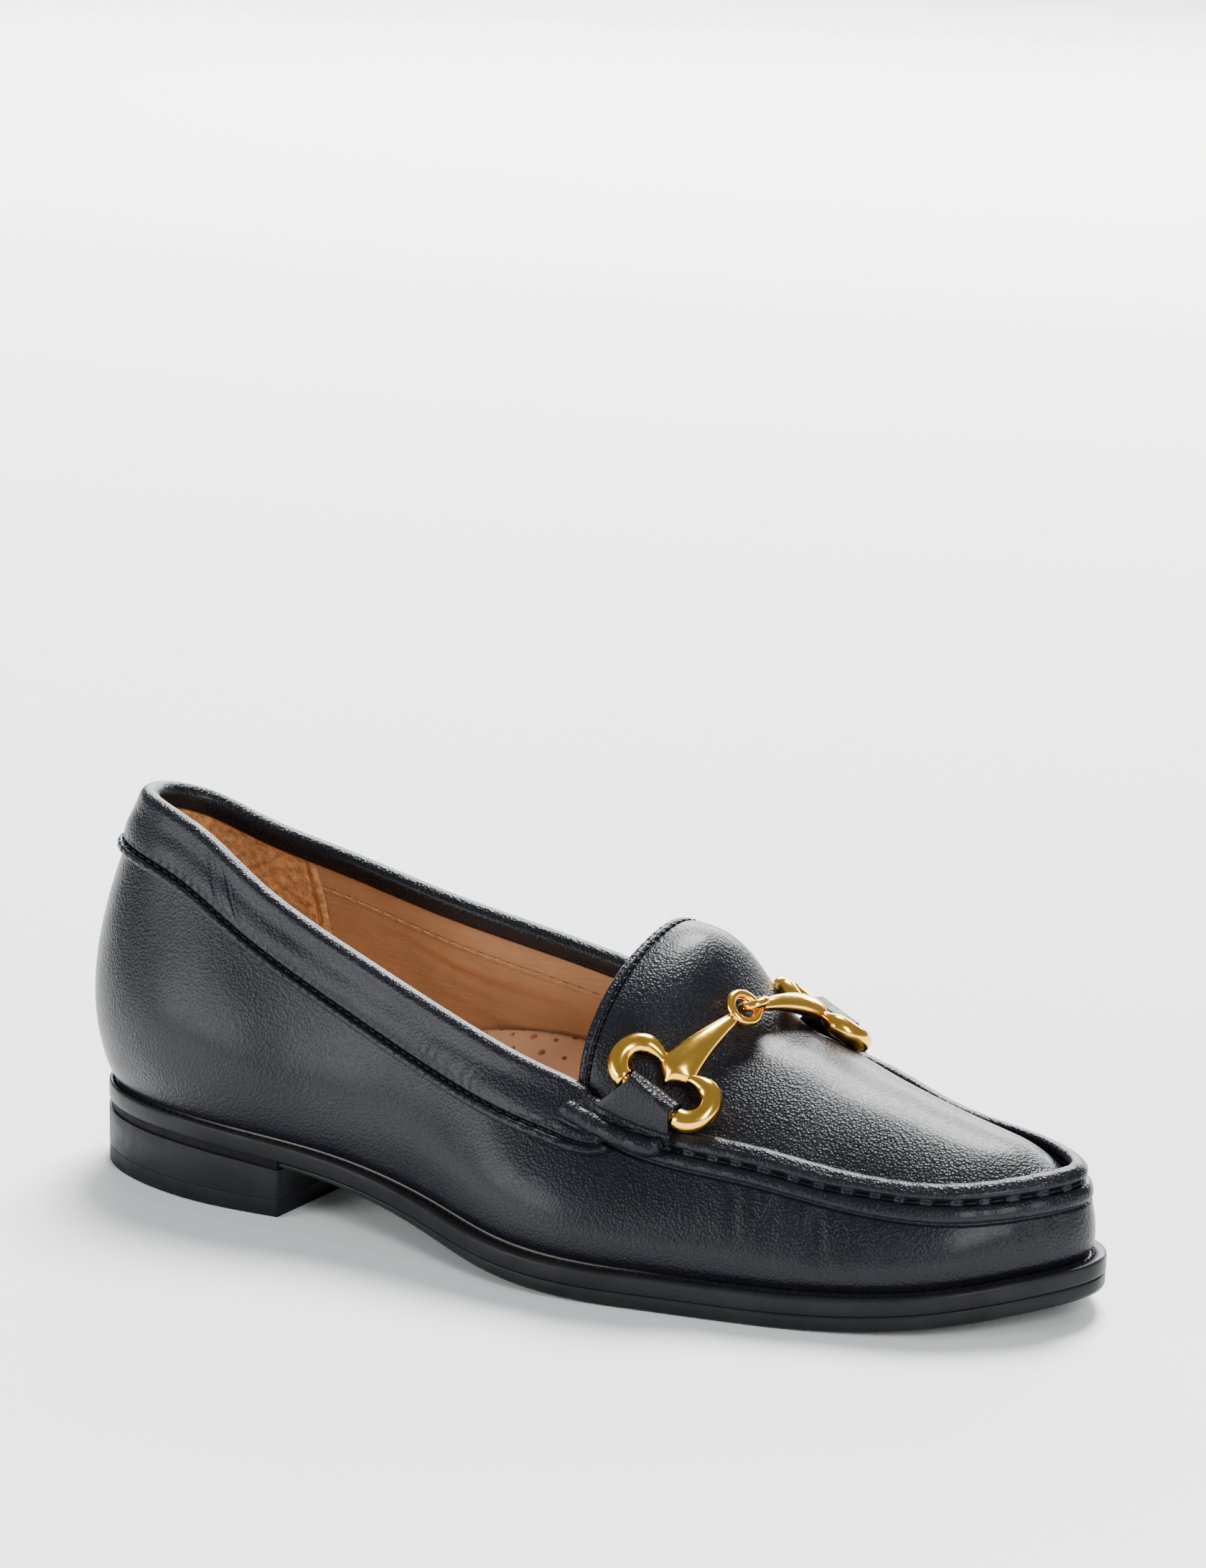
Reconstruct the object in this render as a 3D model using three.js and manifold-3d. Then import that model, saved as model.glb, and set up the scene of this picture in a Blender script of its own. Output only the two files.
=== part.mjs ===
// Right shoe of a pair of women's block heel loafers: moccasin toe, folded collar band and a
// two-piece snaffle ornament. Millimetres; the toe points along +X, the wearer's left is +Y and
// the shoe stands on z = 0, with the centre of the heel's underside at the origin.
import * as THREE from "three";
import Module from "manifold-3d";
import { mergeVertices } from "three/addons/utils/BufferGeometryUtils.js";

const wasm = await Module();
wasm.setup();

const radians = THREE.MathUtils.degToRad;

// Driving sizes
const soleLength = 253;
const ballWidth = 92;
const heelHeight = 14.9; // floor to the midsole's underside at the back of the heel
const counterHeight = 65; // midsole's top to the topline at the back of the heel
const toeSpring = 6;

// Sole layers
const midsoleThickness = 4.2;
const outsoleThickness = 3.6;
const waistThickness = 1.2; // the outsole where it runs into the heel breast
const insoleThickness = 2.6;
const topLiftThickness = 4;
const randThickness = 2;
const heelLength = 64;
const weltWidth = 3.2;
const seatWeltWidth = 1.4; // the welt narrows round the heel seat
const randInset = 0.8;
const insoleClearance = 0.8; // between the insole's edge and the upper's inner wall

// Upper
const wall = 2;
const seamThickness = 1.2; // how far the moccasin seam stands out from the wall
const seamDepth = 11;
const seamStart = 3; // the seam starts this far in front of the throat
const seamRamp = 10; // length over which the seam rises out of the wall
const seamRound = 3; // height of the slope at the seam's lower edge
const seamCrown = 2.5; // height of the rounding at its upper edge
const seamEdge = 0.5; // share of the seam's thickness at the very top
const wallPull = 0.38; // share of the wall's height that keeps its lean at each end
const bandThickness = 1.1;
const bandDepth = 13.5; // collar band, down from the topline
const bandLobe = 9; // the band's lower edge runs this far past its upper edge
const lobeRun = 25; // length over which the lower edge runs ahead
const bandInside = 5;
const backSeamWidth = 5;
const backSeamThickness = 0.9;
const backSeamEdge = 0.4; // its thickness at its sides
const backSeamRise = 1; // its lower end above the welt
const gap = 0.3; // between pieces that meet

// Apron
const apronThickness = 1.8;
const apronDrop = 2.6; // its rim below the top of the moccasin seam
const archPower = 2.4;
const apronSkew = 0.09; // the ridge leans to the medial side by this share of its height
const rimClearance = 2.4; // further in where the apron rises steeply past the leaning wall
const apronFade = 0.4; // its dome sinks where it is narrower than this share of the ball width

// Snaffle
const rodRadius = 2.2; // the loops
const pinRadius = 1.4; // between the loops, inside the tab
const loopRadius = 4.6;
const loopApart = 14.4; // between the middles of the two loops
const pinShoulder = 0.1; // length over which the pin widens into a loop
const loopTurn = 1.4; // half turns from the pin to the loop's cut end
const ringRod = 1.05;
const flatRing = 3.5;
const uprightRing = 2.7;
const ringLink = 3.2; // between the middles of the two rings
const ringTilt = radians(68); // of the second ring out of the first ring's plane
const ringHeight = 3.9; // of the linked rings above the apron
const barBow = 2.4; // the bars bow over the instep by this
const tabThickness = 1.4;
const tabWidth = 12.6; // at the fold
const tabBack = 18; // its sewn edge runs back from the fold's middle by this
const tabFront = 7.5; // and forward by this
const tabTail = 7.5; // its sewn part, down from the top of the moccasin seam
const tabFlare = 1.8; // how sharply its sides curve out to the sewn edge
const foldFrom = radians(-35); // the fold round the pin, from the tail's side
const foldTo = radians(190); // to the end tucked behind the pin
const drapeRun = 4; // length over which the tab comes down off the collar band

// Shares of the sole's length
const ballAt = 0.64; // the bed comes down to the forepart here
const seatAt = 0.12; // the bed starts to fall
const springAt = 0.76; // toe spring starts
const breastAt = heelLength / soleLength;
const throatAt = 0.562; // the collar ends and the apron starts
const bandEndsAt = 0.556;
const weltFrom = 0.1; // the welt starts to widen
const weltTo = 0.5; // and is at its full width

// A table's rows as objects, by the names of its columns
const table = (columns, rows) =>
  rows.map((row) => Object.fromEntries(columns.map((name, i) => [name, row[i]])));

// Sections of the last, heel to toe. at: share of the sole's length. lateral and medial: the
// sole edge from the centre line, shares of the ball width. latRise and medRise: the upper's top
// edge above the midsole, shares of the counter height. latIn and medIn: that edge in from the
// sole edge, shares of the ball width. low and top: the wall's lean in degrees, outward over the
// welt and inward at the top edge.
const sections = table(
  ["at", "lateral", "medial", "latRise", "medRise", "latIn", "medIn", "low", "top"],
  [
    [0, 0, 0, 1, 1, 0.075, 0.075, 24, 22],
    [0.03, 0.22, 0.22, 1, 0.93, 0.115, 0.12, 25, 22],
    [0.09, 0.33, 0.33, 0.95, 0.85, 0.16, 0.155, 22, 20],
    [0.185, 0.385, 0.37, 0.835, 0.775, 0.15, 0.145, 18, 17],
    [0.295, 0.37, 0.335, 0.69, 0.72, 0.11, 0.1, 14, 14],
    [0.42, 0.435, 0.3, 0.605, 0.685, 0.11, 0.03, 16, 18],
    [0.51, 0.52, 0.33, 0.56, 0.655, 0.16, 0.04, 18, 24],
    [0.57, 0.53, 0.38, 0.53, 0.63, 0.17, 0.08, 18, 28],
    [0.64, 0.5, 0.43, 0.46, 0.57, 0.16, 0.12, 18, 30],
    [0.745, 0.446, 0.46, 0.42, 0.485, 0.14, 0.15, 17, 31],
    [0.835, 0.38, 0.43, 0.362, 0.4, 0.13, 0.15, 16, 31],
    [0.91, 0.28, 0.35, 0.325, 0.355, 0.1, 0.11, 16, 28],
    [0.965, 0.13, 0.24, 0.31, 0.325, 0.075, 0.08, 16, 24],
    [1, -0.06, 0.06, 0.31, 0.31, 0.062, 0.062, 16, 22],
  ],
);

// The apron along its ridge, throat to toe. at: share of the sole's length. ridge: its top above
// the midsole, share of the counter height. round: 0 gives a parabola across, 1 a full arch.
const apronRidge = [
  { at: 0.557, ridge: 0.955, round: 1 },
  { at: 0.593, ridge: 0.96, round: 0.85 },
  { at: 0.62, ridge: 0.91, round: 0.65 },
  { at: 0.645, ridge: 0.785, round: 0.45 },
  { at: 0.672, ridge: 0.69, round: 0.3 },
  { at: 0.71, ridge: 0.65, round: 0.2 },
  { at: 0.75, ridge: 0.6, round: 0.15 },
  { at: 0.81, ridge: 0.535, round: 0.1 },
  { at: 0.87, ridge: 0.46, round: 0.1 },
  { at: 0.93, ridge: 0.385, round: 0.1 },
  { at: 0.97, ridge: 0.335, round: 0.1 },
];

// The two tabs. at: share of the sole's length. up: where the pin lies across the apron, from its
// rim. lift: of the pin above the apron, in tab thicknesses. yaw: degrees that the loops turn out
// of the apron's plane at the back, to clear the rising tongue.
const tabPlaces = {
  lateral: { at: 0.643, up: 0.14, lift: 3.2, yaw: 4 },
  medial: { at: 0.664, up: 0.16, lift: 3.4, yaw: 8 },
};

// Half of the snaffle's bar along its length. at: share of the way from the pin to the ring. wide
// and thick: half widths along and across the apron, shares of the rod's radius.
const barSections = [
  { at: 0.16, wide: 0.15, thick: 0.2 },
  { at: 0.21, wide: 1.0, thick: 0.7 },
  { at: 0.27, wide: 1.95, thick: 0.85 },
  { at: 0.38, wide: 1.8, thick: 0.85 },
  { at: 0.6, wide: 1.2, thick: 0.75 },
  { at: 0.85, wide: 0.75, thick: 0.65 },
  { at: 1.0, wide: 0.6, thick: 0.55 },
];

// C2 cubic spline through values at knots; a closed one returns to its first value at its last knot
function spline(knots, values, closed) {
  const spans = knots.length - 1;
  const count = values.length;
  const span = (i) => ((i % spans) + spans) % spans;
  const width = (i) => knots[span(i) + 1] - knots[span(i)];
  const value = (i) => values[((i % count) + count) % count];
  const rise = (i) => (value(span(i) + 1) - value(span(i))) / width(i);
  const slopes = values.map(() => 0);
  const slope = (i) => slopes[((i % count) + count) % count];
  for (let pass = 0; pass < 80; pass++)
    for (let i = 0; i < count; i++) {
      if (!closed && i === 0) slopes[i] = (3 * rise(0) - slope(1)) / 2;
      else if (!closed && i === count - 1) slopes[i] = (3 * rise(i - 1) - slope(i - 1)) / 2;
      else {
        const [before, after] = [width(i - 1), width(i)];
        const pull = 3 * (after * rise(i - 1) + before * rise(i));
        slopes[i] = (pull - after * slope(i - 1) - before * slope(i + 1)) / (2 * (before + after));
      }
    }
  return (t) => {
    const period = knots[spans] - knots[0];
    const s = closed ? t - period * Math.floor((t - knots[0]) / period) : t;
    let i = 0;
    while (i < spans - 1 && s > knots[i + 1]) i++;
    const h = width(i);
    const u = (s - knots[i]) / h;
    const [a, b, c, d] = [value(i), value(i + 1), h * slope(i), h * slope(i + 1)];
    return a + u * (c + u * (3 * (b - a) - 2 * c - d + u * (2 * (a - b) + c + d)));
  };
}

// Every column of a table as a spline
function splines(rows, knots, closed) {
  const columns = Object.keys(rows[0]).filter((name) => typeof rows[0][name] === "number");
  return Object.fromEntries(columns.map((name) => [name, spline(knots, rows.map((r) => r[name]), closed)]));
}

const clamp = (v) => Math.min(1, Math.max(0, v));
const smooth = (v) => clamp(v) ** 2 * (3 - 2 * clamp(v));
const mix = (a, b, s) => a + (b - a) * s;

// The midsole's underside above the floor, at x from the back of the heel
function bedUnder(x) {
  const share = x / soleLength;
  const fall = smooth((share - seatAt) / (ballAt - seatAt));
  const spring = clamp((share - springAt) / (1 - springAt)) ** 2;
  return mix(heelHeight, outsoleThickness, fall) + toeSpring * spring;
}
const bedTop = (x) => bedUnder(x) + midsoleThickness;

// Rows round the sole's edge: heel back, lateral side, toe tip, medial side. Position 0 is the
// heel back, 0.5 the toe tip and 1 the heel back again.
function roundTheEdge() {
  const side = (name, sign) =>
    sections.map((row) => ({
      x: row.at * soleLength,
      y: sign * row[name] * ballWidth,
      rise: row[name === "lateral" ? "latRise" : "medRise"] * counterHeight,
      inset: row[name === "lateral" ? "latIn" : "medIn"] * ballWidth,
      low: radians(row.low),
      top: radians(row.top),
    }));
  const lateral = side("lateral", -1);
  const medial = side("medial", 1);
  const knotsOf = (rows) => {
    const run = [0];
    rows.slice(1).forEach((r, i) => run.push(run[i] + Math.hypot(r.x - rows[i].x, r.y - rows[i].y)));
    return run.map((v) => v / run[run.length - 1] / 2);
  };
  const back = knotsOf(medial).map((k) => 1 - k).reverse();
  return {
    rows: [...lateral, ...medial.slice(1, -1).reverse()],
    knots: [...knotsOf(lateral), ...back.slice(1)],
  };
}
const { rows: edgeRows, knots: edgeKnots } = roundTheEdge();
const edge = splines(edgeRows, edgeKnots, true);

// Outward direction in plan at a position round the edge
function outward(t) {
  const step = 1e-4;
  const dx = edge.x(t + step) - edge.x(t - step);
  const dy = edge.y(t + step) - edge.y(t - step);
  return new THREE.Vector3(dy, -dx, 0).normalize();
}

// The sole's edge moved out by a distance, at height z
function edgePoint(t, out, z) {
  const p = new THREE.Vector3(edge.x(t), edge.y(t), 0).addScaledVector(outward(t), out);
  p.z = typeof z === "function" ? z(p.x) : z;
  return p;
}

// How far the welt stands out past the upper
function weltAt(t) {
  const share = edge.x(t) / soleLength;
  return mix(seatWeltWidth, weltWidth, smooth((share - weltFrom) / (weltTo - weltFrom)));
}

// The wall's outer line at t, from the welt to the top edge
function wallLine(t) {
  const out = outward(t);
  const up = new THREE.Vector3(0, 0, 1);
  const foot = edgePoint(t, -weltAt(t), (x) => bedTop(x) + gap);
  const top = edgePoint(t, -edge.inset(t), (x) => bedTop(x) + edge.rise(t));
  const span = foot.distanceTo(top);
  const lean = (angle, sign) =>
    up.clone().multiplyScalar(Math.cos(angle)).addScaledVector(out, sign * Math.sin(angle));
  const low = foot.clone().addScaledVector(lean(edge.low(t), 1), span * wallPull);
  const high = top.clone().addScaledVector(lean(edge.top(t), -1), -span * wallPull);
  const line = new THREE.CubicBezierCurve3(foot, low, high, top);
  line.arcLengthDivisions = 40;
  return line;
}

// The wall's outer surface: t round the shoe, v the share of the wall from the welt to the top
const wallPoint = (t, v) => wallLine(t).getPointAt(clamp(v));

// Outward normal of a surface function of t and v
function normalOf(surface, t, v) {
  const step = 1e-3;
  const across = surface(t + step, v).sub(surface(t - step, v));
  const along = surface(t, Math.min(1, v + step)).sub(surface(t, Math.max(0, v - step)));
  return across.cross(along).normalize();
}

// Where the moccasin seam is in force: 0 at the collar, 1 round the apron
const seamShare = (t) => smooth((edge.x(t) - throatAt * soleLength - seamStart) / seamRamp);

// How far the seam stands out from the wall, at a distance below the top edge
function seamLift(t, below) {
  const section = smooth((seamDepth - below) / seamRound) * mix(seamEdge, 1, smooth(below / seamCrown));
  return seamThickness * seamShare(t) * section;
}

// Point at a distance below the top edge, moved out of the wall's plain or seamed surface
function onWall(t, below, out, seamed = true) {
  const v = 1 - below / wallLine(t).getLength();
  const lift = seamed ? seamLift(t, below) : 0;
  return wallPoint(t, v).addScaledVector(normalOf(wallPoint, t, clamp(v)), lift + out);
}

const steps = (from, to, count) => Array.from({ length: count + 1 }, (_, i) => mix(from, to, i / count));

// Closed solid between two grids of points with the same rows and columns. front faces along
// (next row - this row) x (next column - this column); rings joins the last row to the first.
function solidBetween(front, back, rings = false) {
  const points = [];
  const keys = new Map();
  const index = (p) => {
    const key = [p.x, p.y, p.z].map((c) => Math.round(c * 1e4)).join();
    if (!keys.has(key)) {
      keys.set(key, points.length);
      points.push(p);
    }
    return keys.get(key);
  };
  const faces = [];
  const triangle = (...corners) => {
    const [a, b, c] = corners.map(index);
    if (a !== b && b !== c && c !== a) faces.push(a, b, c);
  };
  const quad = (a, b, c, d) => {
    triangle(a, b, c);
    triangle(a, c, d);
  };
  const rowCount = front.length;
  const last = front[0].length - 1;
  const spans = rings ? rowCount : rowCount - 1;
  for (let i = 0; i < spans; i++) {
    const [f0, f1] = [front[i], front[(i + 1) % rowCount]];
    const [b0, b1] = [back[i], back[(i + 1) % rowCount]];
    for (let j = 0; j < last; j++) {
      quad(f0[j], f1[j], f1[j + 1], f0[j + 1]);
      quad(b0[j], b0[j + 1], b1[j + 1], b1[j]);
    }
    quad(f0[0], b0[0], b1[0], f1[0]);
    quad(f0[last], f1[last], b1[last], b0[last]);
  }
  if (!rings)
    for (let j = 0; j < last; j++) {
      const end = rowCount - 1;
      quad(front[0][j], front[0][j + 1], back[0][j + 1], back[0][j]);
      quad(front[end][j + 1], front[end][j], back[end][j], back[end][j + 1]);
    }
  const geometry = new THREE.BufferGeometry();
  const flat = points.flatMap((p) => [p.x, p.y, p.z]);
  geometry.setAttribute("position", new THREE.Float32BufferAttribute(flat, 3));
  geometry.setIndex(faces);
  geometry.computeVertexNormals();
  return geometry;
}

// Plate between two heights inside the sole's edge, from one position along the foot to another.
// Both sides are sampled at the same share of the way round, and cross strips join them.
function plate(stations, out, lower, upper) {
  const across = [0, 0.5, 1];
  const grid = (z) =>
    stations.map((t) => {
      const [a, b] = [edgePoint(t, out(t), 0), edgePoint(1 - t, out(1 - t), 0)];
      return across.map((s) => {
        const p = a.clone().lerp(b, s);
        p.z = z(p.x);
        return p;
      });
    });
  return solidBetween(grid(upper), grid(lower));
}

const shoe = new THREE.Group();
shoe.position.x = -heelLength / 2;

function add(name, geometry, color, roughness, metalness = 0) {
  const mesh = new THREE.Mesh(geometry, new THREE.MeshStandardMaterial({ color, roughness, metalness }));
  mesh.name = name;
  shoe.add(mesh);
  return mesh;
}

// Where round the edge the sole is at x: on the lateral side, or on the medial side
function positionAt(x, medial = false) {
  let [low, high] = [0, 0.5];
  const at = (s) => (medial ? 1 - s : s);
  for (let i = 0; i < 40; i++) {
    const middle = (low + high) / 2;
    if (edge.x(at(middle)) < x) low = middle;
    else high = middle;
  }
  return at(low);
}

const soleColor = 0x17171a;
const leatherColor = 0x1a1b20;
const tan = 0xb47c49;
const gold = 0xc9a24a;

// Sole
const breast = positionAt(heelLength);
const fromHeel = steps(0, 0.5, 44);
add("midsole", plate(fromHeel, () => 0, bedUnder, bedTop), soleColor, 0.45);

const outsoleDepth = (x) =>
  mix(waistThickness, outsoleThickness, smooth((x / soleLength - breastAt) / (ballAt - breastAt)));
const outsoleSteps = steps(positionAt(heelLength + gap), 0.5, 36);
const outsoleUnder = (x) => bedUnder(x) - outsoleDepth(x);
add("outsole", plate(outsoleSteps, () => -gap, outsoleUnder, (x) => bedUnder(x) - gap), soleColor, 0.5);

const insoleUnder = (x) => bedTop(x) + gap;
const insoleTop = (x) => insoleUnder(x) + insoleThickness;
const insoleEdge = (t) => -weltAt(t) - wall - insoleClearance;
add("insole", plate(fromHeel, insoleEdge, insoleUnder, insoleTop), tan, 0.6);

// Heel
const heelSteps = steps(0, breast, 16);
const randUnder = (x) => bedUnder(x) - randThickness;
add("heel_rand", plate(heelSteps, () => -randInset, randUnder, (x) => bedUnder(x) - gap), soleColor, 0.8);
const blockTop = (x) => randUnder(x) - gap;
add("heel_block", plate(heelSteps, () => 0, () => topLiftThickness + gap, blockTop), soleColor, 0.45);
add("top_lift", plate(heelSteps, () => 0, () => 0, () => topLiftThickness), 0x101012, 0.7);

// Upper
const ringSteps = steps(0, 1, 96).slice(0, -1);
const wallLength = (t) => wallLine(t).getLength();
const seamRows = [0, seamCrown, seamDepth - seamRound];
const wallRows = (t) => [...seamRows, ...steps(seamDepth, wallLength(t), 5)].reverse();
add(
  "upper",
  solidBetween(
    ringSteps.map((t) => wallRows(t).map((below) => onWall(t, below, 0))),
    ringSteps.map((t) => wallRows(t).map((below) => onWall(t, below, -wall, false))),
    true,
  ),
  leatherColor,
  0.4,
);

// Apron: rows across the foot from the throat to the toe tip, rim to rim inside the seam
const ridgeKnots = apronRidge.map((row) => row.at * soleLength);
const ridgeOf = splines(apronRidge, ridgeKnots, false);
const throat = positionAt(throatAt * soleLength);

function apronPoint(t, s) {
  const angle = Math.PI * s;
  const share = (1 - Math.cos(angle)) / 2;
  const inside = wall + gap + rimClearance * ridgeOf.round(edge.x(t));
  const rim = (at) => onWall(at, apronDrop, -inside, false);
  const p = rim(t).lerp(rim(1 - t), share);
  const middle = rim(t).lerp(rim(1 - t), 0.5);
  const width = rim(t).distanceTo(rim(1 - t));
  const x = Math.min(middle.x, ridgeKnots[ridgeKnots.length - 1]);
  const height = Math.max(0, bedTop(x) + ridgeOf.ridge(x) * counterHeight - middle.z);
  const fade = smooth(width / (apronFade * ballWidth));
  const arch = (1 - Math.abs(Math.cos(angle)) ** archPower) ** (1 / archPower);
  const lean = apronSkew * Math.sin(2 * angle);
  p.z += height * fade * (mix(Math.sin(angle) ** 2, arch, ridgeOf.round(x)) - lean);
  return p;
}

function apronNormal(t, s) {
  const step = 1e-3;
  const along = apronPoint(Math.min(0.4999, t + step), s).sub(apronPoint(t - step, s));
  const across = apronPoint(t, Math.min(1, s + step)).sub(apronPoint(t, Math.max(0, s - step)));
  return along.cross(across).normalize();
}

const apronSteps = steps(throat, 0.4985, 30);
const acrossSteps = steps(0, 1, 10);
add(
  "apron",
  solidBetween(
    apronSteps.map((t) => acrossSteps.map((s) => apronPoint(t, s))),
    apronSteps.map((t) =>
      acrossSteps.map((s) => apronPoint(t, s).addScaledVector(apronNormal(t, s), -apronThickness)),
    ),
  ),
  leatherColor,
  0.4,
);

// Collar band: folded over the topline, with its outer leg, the roll and a short inner leg
const bandFront = bandEndsAt * soleLength;

// The lower a point of the band, the further forward its front end reaches
function bandAt(t, below) {
  const x = edge.x(t);
  const shift = bandLobe * smooth((x - bandFront + lobeRun) / lobeRun) * clamp(below / bandDepth);
  return shift > 0 ? positionAt(x + shift, t < 0 || t > 0.5) : t;
}

function bandLine(t, out) {
  const outer = [1, 0.7, 0.35, 0.06].map((share) => {
    const below = share * bandDepth;
    return onWall(bandAt(t, below), below, out);
  });
  const [edgeOut, edgeIn] = [onWall(t, 0, 0, false), onWall(t, 0, -wall, false)];
  const middle = edgeOut.clone().lerp(edgeIn, 0.5);
  const normal = edgeOut.clone().sub(edgeIn).normalize();
  const up = edgeOut.clone().sub(onWall(t, 1, 0, false)).normalize();
  const roll = [0.17, 0.5, 0.83].map((share) => {
    const angle = Math.PI * share;
    const p = middle.clone().addScaledVector(normal, Math.cos(angle) * (wall / 2 + out));
    return p.addScaledVector(up, Math.sin(angle) * (wall / 2 + out));
  });
  const inner = [0.06, 1].map((share) => onWall(t, share * bandInside, -wall - out, false));
  return [...outer, ...roll, ...inner];
}

// Its steps are those of the upper, apart from the ones that would nearly touch its ends
const [lateralEnd, medialEnd] = [positionAt(bandFront), positionAt(bandFront, true)];
const nearEnd = 0.003;
const collarSteps = [
  medialEnd - 1,
  ...ringSteps.filter((t) => t > medialEnd + nearEnd).map((t) => t - 1),
  ...ringSteps.filter((t) => t < lateralEnd - nearEnd),
  lateralEnd,
];
add(
  "collar_band",
  solidBetween(
    collarSteps.map((t) => bandLine(t, gap + bandThickness)),
    collarSteps.map((t) => bandLine(t, gap)),
  ),
  leatherColor,
  0.4,
);

// Raised seam down the back of the heel
const perStep = edgePoint(0.001, 0, 0).distanceTo(edgePoint(-0.001, 0, 0)) / 0.002;
const backSteps = [-0.5, -0.2, 0.2, 0.5].map((share) => (share * backSeamWidth) / perStep);
const backRows = steps(wallLength(0) - backSeamRise, bandDepth + 2 * gap, 9);
const backLift = (i) => (i % 3 ? backSeamThickness : backSeamEdge);
add(
  "back_seam",
  solidBetween(
    backSteps.map((t, i) => backRows.map((below) => onWall(t, below, gap + backLift(i)))),
    backSteps.map((t) => backRows.map((below) => onWall(t, below, gap))),
  ),
  leatherColor,
  0.4,
);

// Where a half of the snaffle is held: the pin's middle, and directions along the pin, up the
// apron towards the other half, and away from the apron
function holdAt({ at, up, lift }, medial) {
  const t = positionAt(at * soleLength, medial);
  const [pair, s] = medial ? [1 - t, 1 - up] : [t, up];
  const away = apronNormal(pair, s);
  const pin = apronPoint(pair, s).addScaledVector(away, lift * tabThickness);
  return { x: at * soleLength, medial, pair, pin, away };
}

const holds = { lateral: holdAt(tabPlaces.lateral, false), medial: holdAt(tabPlaces.medial, true) };
const middlePair = (holds.lateral.pair + holds.medial.pair) / 2;
const ridgeAway = apronNormal(middlePair, 0.5);
const ringsAt = apronPoint(middlePair, 0.5).addScaledVector(ridgeAway, ringHeight);
const acrossFoot = holds.medial.pin.clone().sub(holds.lateral.pin).normalize();
const ringsAlong = acrossFoot.clone().cross(ridgeAway).normalize();
const ringsAway = ringsAlong.clone().cross(acrossFoot);
for (const hold of Object.values(holds)) {
  const side = hold.medial ? -1 : 1;
  hold.end = ringsAt.clone().addScaledVector(acrossFoot, (-side * ringLink) / 2);
  hold.reach = hold.end.distanceTo(hold.pin);
  hold.up = hold.end.clone().sub(hold.pin).normalize();
  hold.along = hold.up.clone().cross(hold.away).normalize().multiplyScalar(side);
  const yaw = radians(tabPlaces[hold.medial ? "medial" : "lateral"].yaw);
  hold.along.applyAxisAngle(hold.up, side * yaw);
  hold.away = hold.along.clone().cross(hold.up).normalize().multiplyScalar(side);
}

// A point of a half: along the pin, up towards the ring, and away from the apron
function onHold(hold, along, up, away) {
  return hold.pin
    .clone()
    .addScaledVector(hold.along, along)
    .addScaledVector(hold.up, up)
    .addScaledVector(hold.away, away);
}

// How far the bar and loops bow away from the apron, between the pin and the ring
function bowAt(hold, up, ring) {
  const share = clamp(up / (hold.reach - ring));
  return barBow * 4 * share * (1 - share);
}

function solidOf(geometry) {
  const merged = mergeVertices(geometry.clone(), 1e-5);
  const mesh = new wasm.Mesh({
    numProp: 3,
    vertProperties: new Float32Array(merged.attributes.position.array),
    triVerts: new Uint32Array(merged.index.array),
  });
  mesh.merge();
  return new wasm.Manifold(mesh);
}

function geometryOf(solid) {
  const mesh = solid.getMesh();
  const geometry = new THREE.BufferGeometry();
  geometry.setAttribute("position", new THREE.Float32BufferAttribute(mesh.vertProperties, 3));
  geometry.setIndex(Array.from(mesh.triVerts));
  geometry.computeVertexNormals();
  return geometry;
}

// Solid lofted through closed sections, with flat ends
function loft(loops, closed = false) {
  const sides = loops[0].length;
  const faces = [];
  const count = loops.length;
  for (let i = 0; i < (closed ? count : count - 1); i++)
    for (let j = 0; j < sides; j++) {
      const k = (j + 1) % sides;
      const [a, b] = [i * sides, ((i + 1) % count) * sides];
      faces.push(a + j, a + k, b + k, a + j, b + k, b + j);
    }
  if (!closed)
    for (let j = 1; j < sides - 1; j++) {
      const last = (count - 1) * sides;
      faces.push(0, j + 1, j, last, last + j, last + j + 1);
    }
  const geometry = new THREE.BufferGeometry();
  const flat = loops.flat().flatMap((p) => [p.x, p.y, p.z]);
  geometry.setAttribute("position", new THREE.Float32BufferAttribute(flat, 3));
  geometry.setIndex(faces);
  return geometry;
}

const turn = (count, i) => (2 * Math.PI * i) / count;
const around = (count) => Array.from({ length: count }, (_, i) => turn(count, i));

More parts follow.
